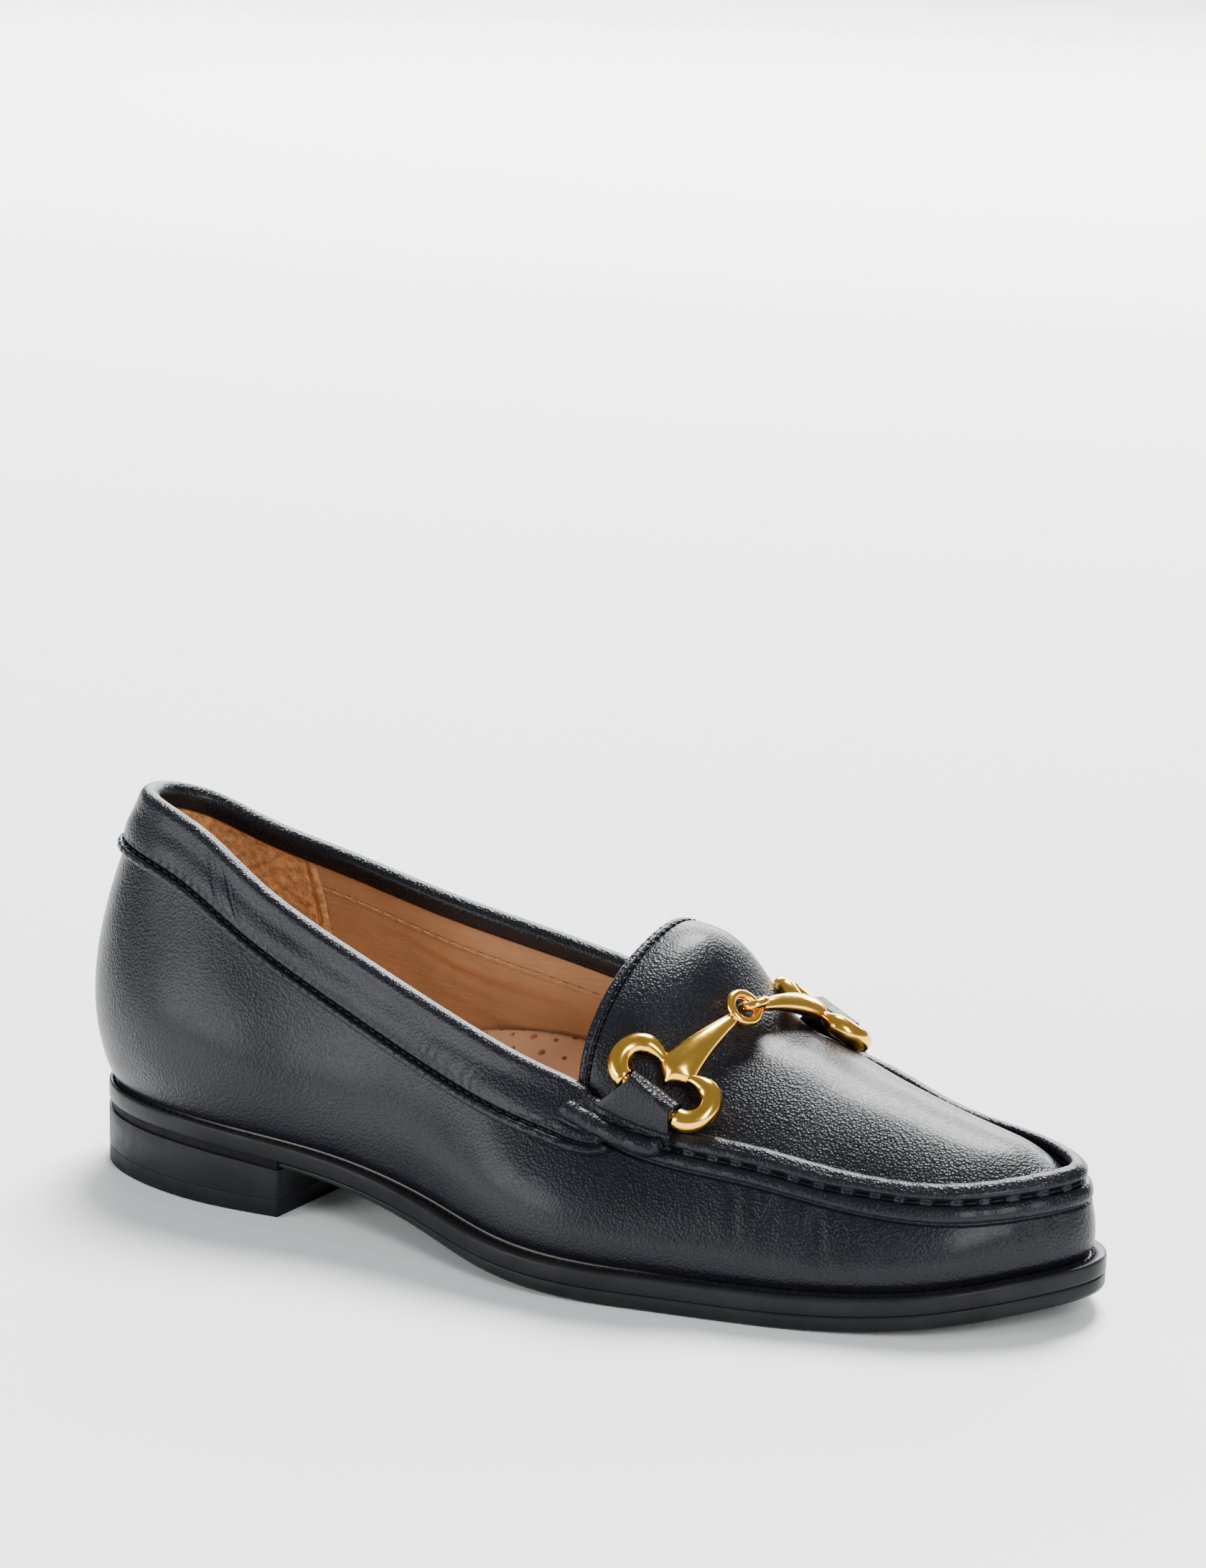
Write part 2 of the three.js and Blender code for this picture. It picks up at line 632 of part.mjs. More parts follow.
// One half: a pin between two loops, a bar with a beak between them, and a ring at its end
function snaffleHalf(hold, upright) {
  const flip = hold.medial ? -1 : 1;
  const orient = (loops) => (flip > 0 ? loops : loops.map((loop) => [...loop].reverse()));
  const arc = steps(-0.5, loopTurn - 0.5, 8).map((share) => {
    const angle = Math.PI * share;
    return [loopApart / 2 + loopRadius * Math.cos(angle), loopRadius * (1 + Math.sin(angle)), rodRadius];
  });
  const ring = upright ? uprightRing : flatRing;
  const half = [[0, 0, pinRadius], [loopApart / 2 - pinShoulder, 0, pinRadius], ...arc];
  const path = [...half.slice(1).reverse().map(([a, b, r]) => [-a, b, r]), ...half];
  const loops = path.map(([a, b, r], i) => {
    const [before, after] = [path[Math.max(0, i - 1)], path[Math.min(path.length - 1, i + 1)]];
    const length = Math.hypot(after[0] - before[0], after[1] - before[1]);
    const [da, db] = [(after[0] - before[0]) / length, (after[1] - before[1]) / length];
    return around(8).map((angle) => {
      const side = r * Math.cos(angle);
      return onHold(hold, a - db * side, b + da * side, r * Math.sin(angle) + bowAt(hold, b, ring));
    });
  });
  const barEnd = hold.reach - ring;
  const bar = barSections.map((row) =>
    around(8).map((angle) => {
      const [w, h] = [row.wide * rodRadius * Math.cos(angle), row.thick * rodRadius * Math.sin(angle)];
      return onHold(hold, -w, row.at * barEnd, h + bowAt(hold, row.at * barEnd, ring));
    }),
  );
  const torus = around(14).map((angle) =>
    around(8).map((small) => {
      const radius = ring + ringRod * Math.cos(small);
      const [u, v, w] = [radius * Math.cos(angle), radius * Math.sin(angle), ringRod * Math.sin(small)];
      const tilt = upright ? ringTilt : 0;
      return hold.end
        .clone()
        .addScaledVector(acrossFoot, flip * u)
        .addScaledVector(ringsAlong, v * Math.cos(tilt) - w * Math.sin(tilt))
        .addScaledVector(ringsAway, v * Math.sin(tilt) + w * Math.cos(tilt));
    }),
  );
  const solids = [loft(orient(loops)), loft(orient(bar)), loft(orient(torus), true)].map(solidOf);
  return geometryOf(wasm.Manifold.union(solids));
}

// Leather tab: sewn over the seam, with its upper end folded round the pin
function tab(hold) {
  const band = (below) => bandFront + (bandLobe * below) / bandDepth;
  const tailShares = [1, 0.75, 0.5, 0.25, 0.05];
  const foldAngles = steps(foldFrom, foldTo, 6);
  const row = (across, out) => {
    const tail = tailShares.map((share) => {
      const below = share * tabTail;
      const sewn = across < 0 ? tabBack : tabFront;
      const x = hold.x + across * mix(tabWidth / 2, sewn, share ** tabFlare);
      const overBand = 1 - smooth((x - band(below) - 1) / drapeRun);
      const drape = gap + (gap + bandThickness) * overBand;
      return onWall(positionAt(x, hold.medial), below, drape + out);
    });
    const fold = foldAngles.map((angle) => {
      const radius = pinRadius + gap + out;
      const p = hold.pin.clone().addScaledVector(hold.along, (across * tabWidth) / 2);
      return p
        .addScaledVector(hold.away, radius * Math.cos(angle))
        .addScaledVector(hold.up, radius * Math.sin(angle));
    });
    return [...tail, ...fold];
  };
  const rows = steps(-1, 1, 6);
  if (hold.medial) rows.reverse();
  return solidBetween(rows.map((a) => row(a, tabThickness)), rows.map((a) => row(a, 0)));
}

add("bit_tab_lateral", tab(holds.lateral), leatherColor, 0.4);
add("bit_tab_medial", tab(holds.medial), leatherColor, 0.4);
add("bit_lateral", snaffleHalf(holds.lateral, false), gold, 0.25, 1);
add("bit_medial", snaffleHalf(holds.medial, true), gold, 0.25, 1);

export default shoe;
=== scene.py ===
"""Looks of the block heel loafer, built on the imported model: leather upper with a moccasin seam,
folded collar band, tan lining and sock, gold-tone snaffle, and a black sole with a low block heel."""

import math
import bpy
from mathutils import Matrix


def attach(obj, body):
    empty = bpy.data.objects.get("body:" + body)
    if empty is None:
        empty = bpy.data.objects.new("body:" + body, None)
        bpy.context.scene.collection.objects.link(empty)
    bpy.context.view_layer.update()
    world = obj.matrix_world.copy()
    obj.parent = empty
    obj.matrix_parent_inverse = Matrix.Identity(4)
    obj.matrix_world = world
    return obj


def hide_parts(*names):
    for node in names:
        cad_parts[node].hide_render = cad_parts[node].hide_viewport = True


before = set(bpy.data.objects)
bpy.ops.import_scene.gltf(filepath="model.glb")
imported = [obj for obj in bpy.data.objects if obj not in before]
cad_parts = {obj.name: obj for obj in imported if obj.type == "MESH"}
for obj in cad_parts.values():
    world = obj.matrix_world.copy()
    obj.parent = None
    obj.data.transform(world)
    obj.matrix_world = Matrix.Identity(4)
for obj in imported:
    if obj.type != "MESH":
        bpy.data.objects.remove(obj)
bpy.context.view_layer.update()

import types

import bpy
import numpy as np
from bpy.props import FloatProperty, FloatVectorProperty, PointerProperty
from mathutils import Matrix, Vector

bl_info = {
    "name": "Block heel loafer",
    "version": (1, 0, 0),
    "blender": (4, 5, 0),
    "location": "3D View > Sidebar > Loafer",
    "description": "Builds the leather, stitching, lining, sole and snaffle of a block heel loafer",
    "category": "Object",
}

# Sections of the last, heel to toe. at: share of the sole's length. lateral and medial: the sole's
# edge from the centre line, shares of the ball width. lat_rise and med_rise: the upper's top edge
# above the midsole, shares of the counter height. lat_in and med_in: that edge in from the sole's
# edge, shares of the ball width. low and top: the wall's lean in degrees.
SECTION_COLUMNS = ("at", "lateral", "medial", "lat_rise", "med_rise", "lat_in", "med_in", "low", "top")
SECTIONS = (
    (0, 0, 0, 1, 1, 0.075, 0.075, 24, 22),
    (0.03, 0.22, 0.22, 1, 0.93, 0.115, 0.12, 25, 22),
    (0.09, 0.33, 0.33, 0.95, 0.85, 0.16, 0.155, 22, 20),
    (0.185, 0.385, 0.37, 0.835, 0.775, 0.15, 0.145, 18, 17),
    (0.295, 0.37, 0.335, 0.69, 0.72, 0.11, 0.1, 14, 14),
    (0.42, 0.435, 0.3, 0.605, 0.685, 0.11, 0.03, 16, 18),
    (0.51, 0.52, 0.33, 0.56, 0.655, 0.16, 0.04, 18, 24),
    (0.57, 0.53, 0.38, 0.53, 0.63, 0.17, 0.08, 18, 28),
    (0.64, 0.5, 0.43, 0.46, 0.57, 0.16, 0.12, 18, 30),
    (0.745, 0.446, 0.46, 0.42, 0.485, 0.14, 0.15, 17, 31),
    (0.835, 0.38, 0.43, 0.362, 0.4, 0.13, 0.15, 16, 31),
    (0.91, 0.28, 0.35, 0.325, 0.355, 0.1, 0.11, 16, 28),
    (0.965, 0.13, 0.24, 0.31, 0.325, 0.075, 0.08, 16, 24),
    (1, -0.06, 0.06, 0.31, 0.31, 0.062, 0.062, 16, 22),
)

# The apron along its ridge. at: share of the sole's length. ridge: above the midsole, share of the
# counter height. arch: 0 gives a parabola across, 1 a full arch.
APRON_COLUMNS = ("at", "ridge", "arch")
APRON = (
    (0.557, 0.955, 1),
    (0.593, 0.96, 0.85),
    (0.62, 0.91, 0.65),
    (0.645, 0.785, 0.45),
    (0.672, 0.69, 0.3),
    (0.71, 0.65, 0.2),
    (0.75, 0.6, 0.15),
    (0.81, 0.535, 0.1),
    (0.87, 0.46, 0.1),
    (0.93, 0.385, 0.1),
    (0.97, 0.335, 0.1),
)

# Half of the snaffle's bar, pin to ring. at: share of the way. wide and thick: half widths, shares
# of the rod's radius.
BAR_COLUMNS = ("at", "wide", "thick")
BAR = (
    (0.163, 0.03, 0.2),
    (0.195, 0.55, 0.6),
    (0.223, 1.09, 0.85),
    (0.251, 1.64, 1.02),
    (0.279, 2.09, 1.12),
    (0.32, 2.18, 1.16),
    (0.366, 2.0, 1.16),
    (0.6, 1.42, 0.98),
    (0.85, 0.92, 0.74),
    (1.0, 0.66, 0.55),
)

# Where each tab sits. at: share of the sole's length. up: across the apron from its rim. lift: of
# the pin, in tab thicknesses. yaw: degrees that the loops turn out at the back.
TAB_PLACES = {
    "lateral": types.SimpleNamespace(at=0.6395, up=0.14, lift=3.2, yaw=-8, medial=False),
    "medial": types.SimpleNamespace(at=0.67, up=0.16, lift=3.2, yaw=6, medial=True),
}

# Arch pad of the sock. x: from the heel's back, mm. below: where its upper edge meets the medial
# wall, below the top edge.
PAD_COLUMNS = ("x", "below")
PAD = (
    (46, 49),
    (60, 41),
    (78, 31.5),
    (88, 27),
    (98, 23.7),
    (107, 22.2),
    (120, 22.5),
    (138, 27),
    (156, 36),
    (170, 40),
)

# Places along the sole, shares of its length.
SEAT_AT, BALL_AT, SPRING_AT, THROAT_AT, BAND_ENDS_AT = 0.12, 0.64, 0.76, 0.562, 0.556

# Reach of the wall's inner control points, share of its height.
WALL_PULL = 0.38

# The apron across: power of its full arch, lean to the medial side, and the width below which it
# flattens, a share of the ball width.
ARCH_POWER, APRON_SKEW, APRON_FADE = 2.4, 0.09, 0.4

# How far round each loop of the snaffle goes, in half turns.
LOOP_TURN = 1.24

# Front of the collar band past the throat, mm: its top edge, and its round lobe's width and height.
BAND_LEAD, LOBE_WIDE, LOBE_TALL = 8.5, 15.0, 6.0

# Tabs: power of their flare, then their sewn edge and rolled piece below the top edge, mm.
TAB_FLARE, TAB_SEWN, ROLL_BELOW = 0.22, 3.2, 4.6

# Inside, mm: front edge of the heel grip, depth of the lining's top strip, and its seam above the
# strip's lower edge.
GRIP_FRONT, STRIP_DEPTH, STRIP_SEAM = 36.5, 11.3, 0.9

# The toe seam's lower crease, below the top edge, and the collar band's stitched groove, above the
# band's lower edge, mm.
CREASE_BELOW, BAND_GROOVE = 6.9, 2.5

# Pitch of the stitches up the back seam, mm, and sides of the sock's punched holes.
BACK_PITCH, PUNCH_SIDES = 5.0, 14

MM = 0.001

# Soft puckers of the vamp below the moccasin seam. x: from the heel's back, mm. medial: which
# side. from_seam: start below the top edge, mm. run: length. slant: how far it drifts forward on
# the way down. wide and deep: of the trough.
PUCKER_COLUMNS = ("x", "medial", "from_seam", "run", "slant", "wide", "deep")
PUCKERS = (
    (178, 0, 7.6, 13, -3, 1.9, 0.22),
    (185, 0, 7.4, 15, 2, 1.5, 0.34),
    (190, 0, 7.4, 12, 1, 1.1, 0.24),
    (195, 0, 7.4, 16, -1, 1.5, 0.4),
    (199.5, 0, 7.4, 12, 1, 1.0, 0.26),
    (204.5, 0, 7.4, 17, 1.5, 2.2, 0.62),
    (210, 0, 7.4, 13, 1, 1.3, 0.34),
    (215, 0, 7.4, 11, 1, 1.2, 0.24),
    (221, 0, 7.4, 10, 0, 1.4, 0.16),
    (246, 0, 7.4, 12, 0, 1.5, 0.3),
    (250, 0, 7.4, 12, 0, 1.2, 0.24),
    (251, 1, 7.4, 13, 0, 1.5, 0.3),
    (244, 1, 7.4, 12, -1, 1.5, 0.22),
    (222, 1, 7.4, 11, 1, 1.5, 0.2),
    (208, 1, 7.4, 15, 2, 2.0, 0.46),
    (200, 1, 7.4, 12, 1, 1.2, 0.28),
    (193, 1, 7.4, 15, 1, 1.7, 0.38),
    (183, 1, 7.4, 13, -2, 1.5, 0.26),
)


def rows_of(columns, rows):
    return [types.SimpleNamespace(**dict(zip(columns, row))) for row in rows]


def length(name, text, value, low=0.0):
    """A size in metres, with its default."""
    return FloatProperty(name=name, description=text, default=value, min=low, unit="LENGTH", precision=5)


class LoaferSizes(bpy.types.PropertyGroup):
    """The shoe's own sizes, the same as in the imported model."""

    sole_length: length("Sole length", "Back of the heel to the toe tip", 0.253)
    ball_width: length("Ball width", "Width that the sections are shares of", 0.092)
    heel_height: length("Heel height", "Floor to the midsole at the back", 0.0149)
    counter_height: length("Counter height", "Midsole to the topline at the back", 0.065)
    toe_spring: length("Toe spring", "How far the toe lifts off the floor", 0.006)
    midsole_thickness: length("Midsole thickness", "Band that the upper sits on", 0.0042)
    outsole_thickness: length("Outsole thickness", "At the ball", 0.0036)
    waist_thickness: length("Waist thickness", "Outsole where it meets the heel", 0.0012)
    insole_thickness: length("Insole thickness", "Sock and board inside", 0.0026)
    top_lift_thickness: length("Top lift thickness", "Rubber under the heel", 0.004)
    # The rand is drawn darker than the rubber, as painted shade of its recess.
    rand_thickness: length("Rand thickness", "Dark layer over the heel", 0.002)
    heel_length: length("Heel length", "Back to breast", 0.064)
    welt_width: length("Welt width", "Past the upper at the forepart", 0.0032)
    seat_welt_width: length("Seat welt width", "Past the upper round the heel", 0.0014)
    rand_inset: length("Rand inset", "The rand lies back by this", 0.0008)
    wall: length("Wall", "Upper with its lining", 0.002)
    seam_start: length("Seam start", "In front of the throat", 0.003)
    seam_ramp: length("Seam ramp", "Length over which it rises", 0.01)
    band_thickness: length("Band thickness", "Collar band's leather", 0.0011)
    band_depth: length("Band depth", "Down from the topline", 0.0135)
    lobe_run: length("Lobe run", "Length over which it runs ahead", 0.025)
    band_inside: length("Band inside", "Depth of its inner leg", 0.005)
    back_seam_width: length("Back seam width", "Raised seam up the back", 0.005)
    back_seam_thickness: length("Back seam thickness", "Out of the wall", 0.0009)
    gap: length("Gap", "Between pieces that meet", 0.0003)
    apron_thickness: length("Apron thickness", "Plug and tongue", 0.0018)
    apron_drop: length("Apron drop", "Rim below the seam's top", 0.0026)
    rim_clearance: length("Rim clearance", "Further in where the apron rises", 0.0024)
    rod_radius: length("Rod radius", "Snaffle's loops", 0.0022)
    pin_radius: length("Pin radius", "Pin inside the tab", 0.0014)
    loop_radius: length("Loop radius", "Middle of the rod", 0.0046)
    loop_apart: length("Loops apart", "Middles of the loops", 0.0144)
    ring_rod: length("Ring rod", "Radius of the rings' rod", 0.00105)
    flat_ring: length("Flat ring", "Radius of the first ring", 0.0035)
    upright_ring: length("Upright ring", "Radius of the second ring", 0.0027)
    ring_link: length("Ring link", "Middles of the rings", 0.0032)
    ring_height: length("Ring height", "Rings above the apron", 0.0039)
    bar_bow: length("Bar bow", "Bars over the instep", 0.0024)
    tab_thickness: length("Tab thickness", "Leather of the tabs", 0.0014)
    tab_width: length("Tab width", "At the fold", 0.0126)
    tab_back: length("Tab back", "Sewn edge backwards", 0.018)
    tab_front: length("Tab front", "Sewn edge forwards", 0.0075)


class LoaferStitching(bpy.types.PropertyGroup):
    """Pitches and threads of the seams."""

    moccasin_pitch: length("Moccasin pitch", "Stitch to stitch on the toe seam", 0.0062)
    moccasin_thread: length("Moccasin thread", "Its radius", 0.0005)
    band_pitch: length("Band pitch", "Stitch to stitch on the collar band", 0.0027)
    tongue_pitch: length("Tongue pitch", "Stitch to stitch round the tongue", 0.0022)
    lining_pitch: length("Lining pitch", "Stitch to stitch on the lining", 0.0037)
    welt_pitch: length("Welt pitch", "Stitch to stitch on the welt", 0.0023)
    fine_thread: length("Fine thread", "Radius of the other threads", 0.00028)


def colour(name, text, value):
    return FloatVectorProperty(
        name=name, description=text, default=value, size=3, min=0, max=1, subtype="COLOR"
    )


class LoaferColours(bpy.types.PropertyGroup):
    """Colours of the leathers, the sole and the metal."""

    calf: colour("Calf", "Black calf of the upper", (0.0055, 0.0057, 0.0085))
    lining: colour("Lining", "Tan lining leather", (0.43, 0.25, 0.135))
    suede: colour("Suede", "Heel grip", (0.44, 0.22, 0.09))
    # The sock's colour is partly its own lighter tan and partly painted light: raised well above the
    # lining's, since the inside of the shoe gets little lamp light.
    sock: colour("Sock", "Smooth tan sock", (0.84, 0.55, 0.33))
    sole: colour("Sole", "Black sole and welt", (0.011, 0.011, 0.0125))
    rubber: colour("Rubber", "Top lift", (0.008, 0.008, 0.0092))
    thread: colour("Thread", "Black waxed thread", (0.003, 0.003, 0.004))
    lining_thread: colour("Lining thread", "Thread of the lining", (0.52, 0.33, 0.18))
    gold: colour("Gold", "Plated snaffle", (0.96, 0.53, 0.08))
    floor: colour("Floor", "Pale floor", (0.9, 0.9, 0.9))


def smooth(v):
    v = np.clip(v, 0, 1)
    return v * v * (3 - 2 * v)


def mix(a, b, s):
    return a + (b - a) * s


def bell(v):
    """1 at 0, down to 0 at -1 and 1."""
    return np.clip(1 - np.square(v), 0, 1) ** 2


def dome(v):
    """Half a circle: 1 at 0, 0 at -1 and 1."""
    return np.sqrt(np.clip(1 - np.square(v), 0, 1))


def unit(v):
    return v / np.maximum(np.linalg.norm(v, axis=-1, keepdims=True), 1e-12)


def run_of(points):
    """Length along a line of points from its first one, or along each column of a grid."""
    steps = np.linalg.norm(np.diff(points, axis=0), axis=-1)
    return np.concatenate([np.zeros((1,) + steps.shape[1:]), np.cumsum(steps, axis=0)])


def turns(count):
    """Angles of evenly spread points round a circle."""
    return 2 * np.pi * np.arange(count) / count


def tangent(line, t, step=5e-4):
    """Direction of a line at each t. The line is a function of t."""
    return line(t + step) - line(t - step)


def shifted(height, by):
    """A height, which is a function of x, moved up."""
    return lambda x: height(x) + by


class Spline:
    """C2 cubic spline through values at knots. A closed one returns to its first value."""

    def __init__(self, knots, values, closed=False):
        self.knots = np.array(knots, float)
        self.closed = closed
        values = np.array(values, float)
        if closed:
            values = np.append(values, values[0])
        width = np.diff(self.knots)
        rise = np.diff(values) / width
        count = len(values)
        table = np.zeros((count, count))
        pull = np.zeros(count)
        for i in range(1, count - 1):
            before, after = width[i - 1], width[i]
            table[i, i - 1 : i + 2] = after, 2 * (before + after), before
            pull[i] = 3 * (after * rise[i - 1] + before * rise[i])
        if closed:
            before, after = width[-1], width[0]
            table[0, 0], table[0, 1], table[0, -2] = 2 * (before + after), before, after
            pull[0] = 3 * (after * rise[-1] + before * rise[0])
            table[-1, 0], table[-1, -1] = 1, -1
        else:
            table[0, :2] = 2, 1
            pull[0] = 3 * rise[0]
            table[-1, -2:] = 1, 2
            pull[-1] = 3 * rise[-1]
        self.values = values
        self.slopes = np.linalg.solve(table, pull)
        self.width = width

    def __call__(self, t):
        t = np.asarray(t, float)
        if self.closed:
            period = self.knots[-1] - self.knots[0]
            t = t - period * np.floor((t - self.knots[0]) / period)
        i = np.clip(np.searchsorted(self.knots, t, side="left") - 1, 0, len(self.width) - 1)
        h = self.width[i]
        u = (t - self.knots[i]) / h
        a, b = self.values[i], self.values[i + 1]
        c, d = h * self.slopes[i], h * self.slopes[i + 1]
        return a + u * (c + u * (3 * (b - a) - 2 * c - d + u * (2 * (a - b) + c + d)))


def in_mm(group):
    """The sizes of a property group as plain numbers in millimetres."""
    return types.SimpleNamespace(**{name: getattr(group, name) * 1000 for name in group.__annotations__})


class Last:
    """The forms that every piece follows: sole edge, bed, wall of the upper and apron, in
    millimetres from the back of the heel. t goes round the edge: 0 heel, 0.5 toe, lateral first."""

    def __init__(self, sizes):
        s = self.s = sizes
        width = s.ball_width
        lateral, medial = [], []
        for r in rows_of(SECTION_COLUMNS, SECTIONS):
            x = r.at * s.sole_length
            lateral.append((x, -r.lateral * width, r.lat_rise, r.lat_in, r.low, r.top))
            medial.append((x, r.medial * width, r.med_rise, r.med_in, r.low, r.top))

        def knots_of(side):
            run = run_of(np.array(side)[:, :2])
            return run / run[-1] / 2

        ring = np.array(lateral + medial[1:-1][::-1])
        knots = np.concatenate([knots_of(lateral), (1 - knots_of(medial))[::-1][1:]])
        ring[:, 2] *= s.counter_height
        ring[:, 3] *= s.ball_width
        ring[:, 4:] = np.radians(ring[:, 4:])
        names = ("x", "y", "rise", "inset", "low", "top")
        splines = {name: Spline(knots, ring[:, i], True) for i, name in enumerate(names)}
        self.edge = types.SimpleNamespace(**splines)
        apron = rows_of(APRON_COLUMNS, APRON)
        at = [r.at * s.sole_length for r in apron]
        self.ridge = Spline(at, [r.ridge for r in apron])
        self.arch = Spline(at, [r.arch for r in apron])
        self.ridge_end = at[-1]
        self.throat = float(self.position_at(THROAT_AT * s.sole_length))
        self.band_front = BAND_ENDS_AT * s.sole_length

    def bed_under(self, x):
        s = self.s
        share = x / s.sole_length
        fall = smooth((share - SEAT_AT) / (BALL_AT - SEAT_AT))
        spring = np.clip((share - SPRING_AT) / (1 - SPRING_AT), 0, 1) ** 2
        return mix(s.heel_height, s.outsole_thickness, fall) + s.toe_spring * spring

    def bed_top(self, x):
        return self.bed_under(x) + self.s.midsole_thickness

    def outsole_under(self, x):
        s = self.s
        breast = s.heel_length / s.sole_length
        share = smooth((x / s.sole_length - breast) / (BALL_AT - breast))
        return self.bed_under(x) - mix(s.waist_thickness, s.outsole_thickness, share)

    def position_at(self, x, medial=False):
        """Where round the edge the sole is at x, on one side. Both may be arrays."""
        x, medial = np.broadcast_arrays(np.asarray(x, float), medial)
        low, high = np.zeros(x.shape), np.full(x.shape, 0.5)
        for _ in range(30):
            middle = (low + high) / 2
            behind = self.edge.x(np.where(medial, 1 - middle, middle)) < x
            low, high = np.where(behind, middle, low), np.where(behind, high, middle)
        return np.where(medial, 1 - low, low)

    def outward(self, t):
        step = 1e-4
        dx = self.edge.x(t + step) - self.edge.x(t - step)
        dy = self.edge.y(t + step) - self.edge.y(t - step)
        return unit(np.stack([dy, -dx, np.zeros_like(dx)], -1))

    def edge_point(self, t, out, height):
        """The sole's edge moved out, at a height that is a function of x."""
        p = np.stack([self.edge.x(t), self.edge.y(t), np.zeros_like(self.edge.x(t))], -1)
        p = p + self.outward(t) * np.asarray(out)[..., None]
        p[..., 2] = height(p[..., 0])
        return p

    def welt_at(self, t):
        share = self.edge.x(t) / self.s.sole_length
        return mix(self.s.seat_welt_width, self.s.welt_width, smooth((share - 0.1) / 0.4))

    def wall_curves(self, t):
        """The wall's four control points, its length and its arc table at each t."""
        out = self.outward(t)
        up = np.array([0, 0, 1.0])
        foot = self.edge_point(t, -self.welt_at(t), lambda x: self.bed_top(x) + self.s.gap)
        top = self.edge_point(t, -self.edge.inset(t), self.bed_top)
        top[:, 2] += self.edge.rise(t)
        span = np.linalg.norm(top - foot, axis=1, keepdims=True)
        low, high = self.edge.low(t)[:, None], self.edge.top(t)[:, None]
        second = foot + (up * np.cos(low) + out * np.sin(low)) * span * WALL_PULL
        third = top - (up * np.cos(high) - out * np.sin(high)) * span * WALL_PULL
        curves = np.stack([foot, second, third, top], 1)
        points = np.einsum("uc,kcd->kud", bernstein(np.linspace(0, 1, 41)), curves)
        arc = np.cumsum(np.linalg.norm(np.diff(points, axis=1), axis=2), axis=1)
        return curves, np.concatenate([np.zeros((len(t), 1)), arc], 1)

    def wall_share(self, t, v):
        """Point of the wall's outer face at a share v of its length, from the welt up."""
        t, v = np.broadcast_arrays(np.asarray(t, float), np.asarray(v, float))
        once, back = np.unique(t.ravel(), return_inverse=True)
        back = back.ravel()
        curves, arc = self.wall_curves(once)
        goal = np.clip(v.ravel(), 0, 1) * arc[back, -1]
        table = arc[back]
        i = np.minimum((table[:, 1:] < goal[:, None]).sum(1), 39)
        pick = np.arange(len(i))
        low, high = table[pick, i], table[pick, i + 1]
        u = (i + (goal - low) / (high - low)) / 40
        points = np.einsum("pc,pcd->pd", bernstein(u), curves[back])
        return points.reshape(t.shape + (3,))

    def wall_length(self, t):
        t = np.asarray(t, float)
        return self.wall_curves(t.ravel())[1][:, -1].reshape(t.shape)

    def normal(self, t, below):
        step = 1e-3
        v = np.clip(1 - below / self.wall_length(t), 0, 1)
        across = self.wall_share(t + step, v) - self.wall_share(t - step, v)
        along = self.wall_share(t, np.minimum(1, v + step)) - self.wall_share(t, np.maximum(0, v - step))
        return unit(np.cross(across, along))

    def on_wall(self, t, below, out=0.0):
        """Point below the top edge, moved out of the plain wall."""
        t, below, out = np.broadcast_arrays(np.asarray(t, float), np.asarray(below, float), out)
        v = 1 - below / self.wall_length(t)
        return self.wall_share(t, v) + self.normal(t, below) * out[..., None]

    def seam_share(self, t):
        s = self.s
        return smooth((self.edge.x(t) - THROAT_AT * s.sole_length - s.seam_start) / s.seam_ramp)

    def apron_point(self, t, share):
        """Point of the apron: t of its rim on the lateral side, share of the way across."""
        s = self.s
        t, share = np.broadcast_arrays(np.asarray(t, float), np.asarray(share, float))
        angle = np.pi * share
        inside = s.wall + s.gap + s.rim_clearance * self.arch(self.edge.x(t))
        lateral = self.on_wall(t, s.apron_drop, -inside)
        medial = self.on_wall(1 - t, s.apron_drop, -inside)
        p = lateral + (medial - lateral) * ((1 - np.cos(angle)) / 2)[..., None]
        middle = (lateral + medial) / 2
        width = np.linalg.norm(medial - lateral, axis=-1)
        x = np.minimum(middle[..., 0], self.ridge_end)
        height = np.maximum(0, self.bed_top(x) + self.ridge(x) * s.counter_height - middle[..., 2])
        fade = smooth(width / (APRON_FADE * s.ball_width))
        arch = (1 - np.abs(np.cos(angle)) ** ARCH_POWER) ** (1 / ARCH_POWER)
        lean = APRON_SKEW * np.sin(2 * angle)
        p[..., 2] += height * fade * (mix(np.sin(angle) ** 2, arch, self.arch(x)) - lean)
        return p

    def apron_normal(self, t, share):
        step = 1e-3
        along = self.apron_point(np.minimum(0.4999, t + step), share) - self.apron_point(t - step, share)
        across = self.apron_point(t, np.minimum(1, share + step)) - self.apron_point(
            t, np.maximum(0, share - step)
        )
        return unit(np.cross(along, across))


def bernstein(u):
    u = np.asarray(u, float)[:, None]
    return np.concatenate([(1 - u) ** 3, 3 * u * (1 - u) ** 2, 3 * u**2 * (1 - u), u**3], 1)


# Meshes


def quads(rows, columns, ring_rows=False, ring_columns=False, start=0):
    """Faces of a grid, facing along (next row - row) x (next column - column)."""
    i = np.arange(rows if ring_rows else rows - 1)
    j = np.arange(columns if ring_columns else columns - 1)
    i, j = (a.ravel() for a in np.meshgrid(i, j, indexing="ij"))
    k, m = (i + 1) % rows, (j + 1) % columns
    corners = [i * columns + j, k * columns + j, k * columns + m, i * columns + m]
    return np.stack(corners, 1) + start


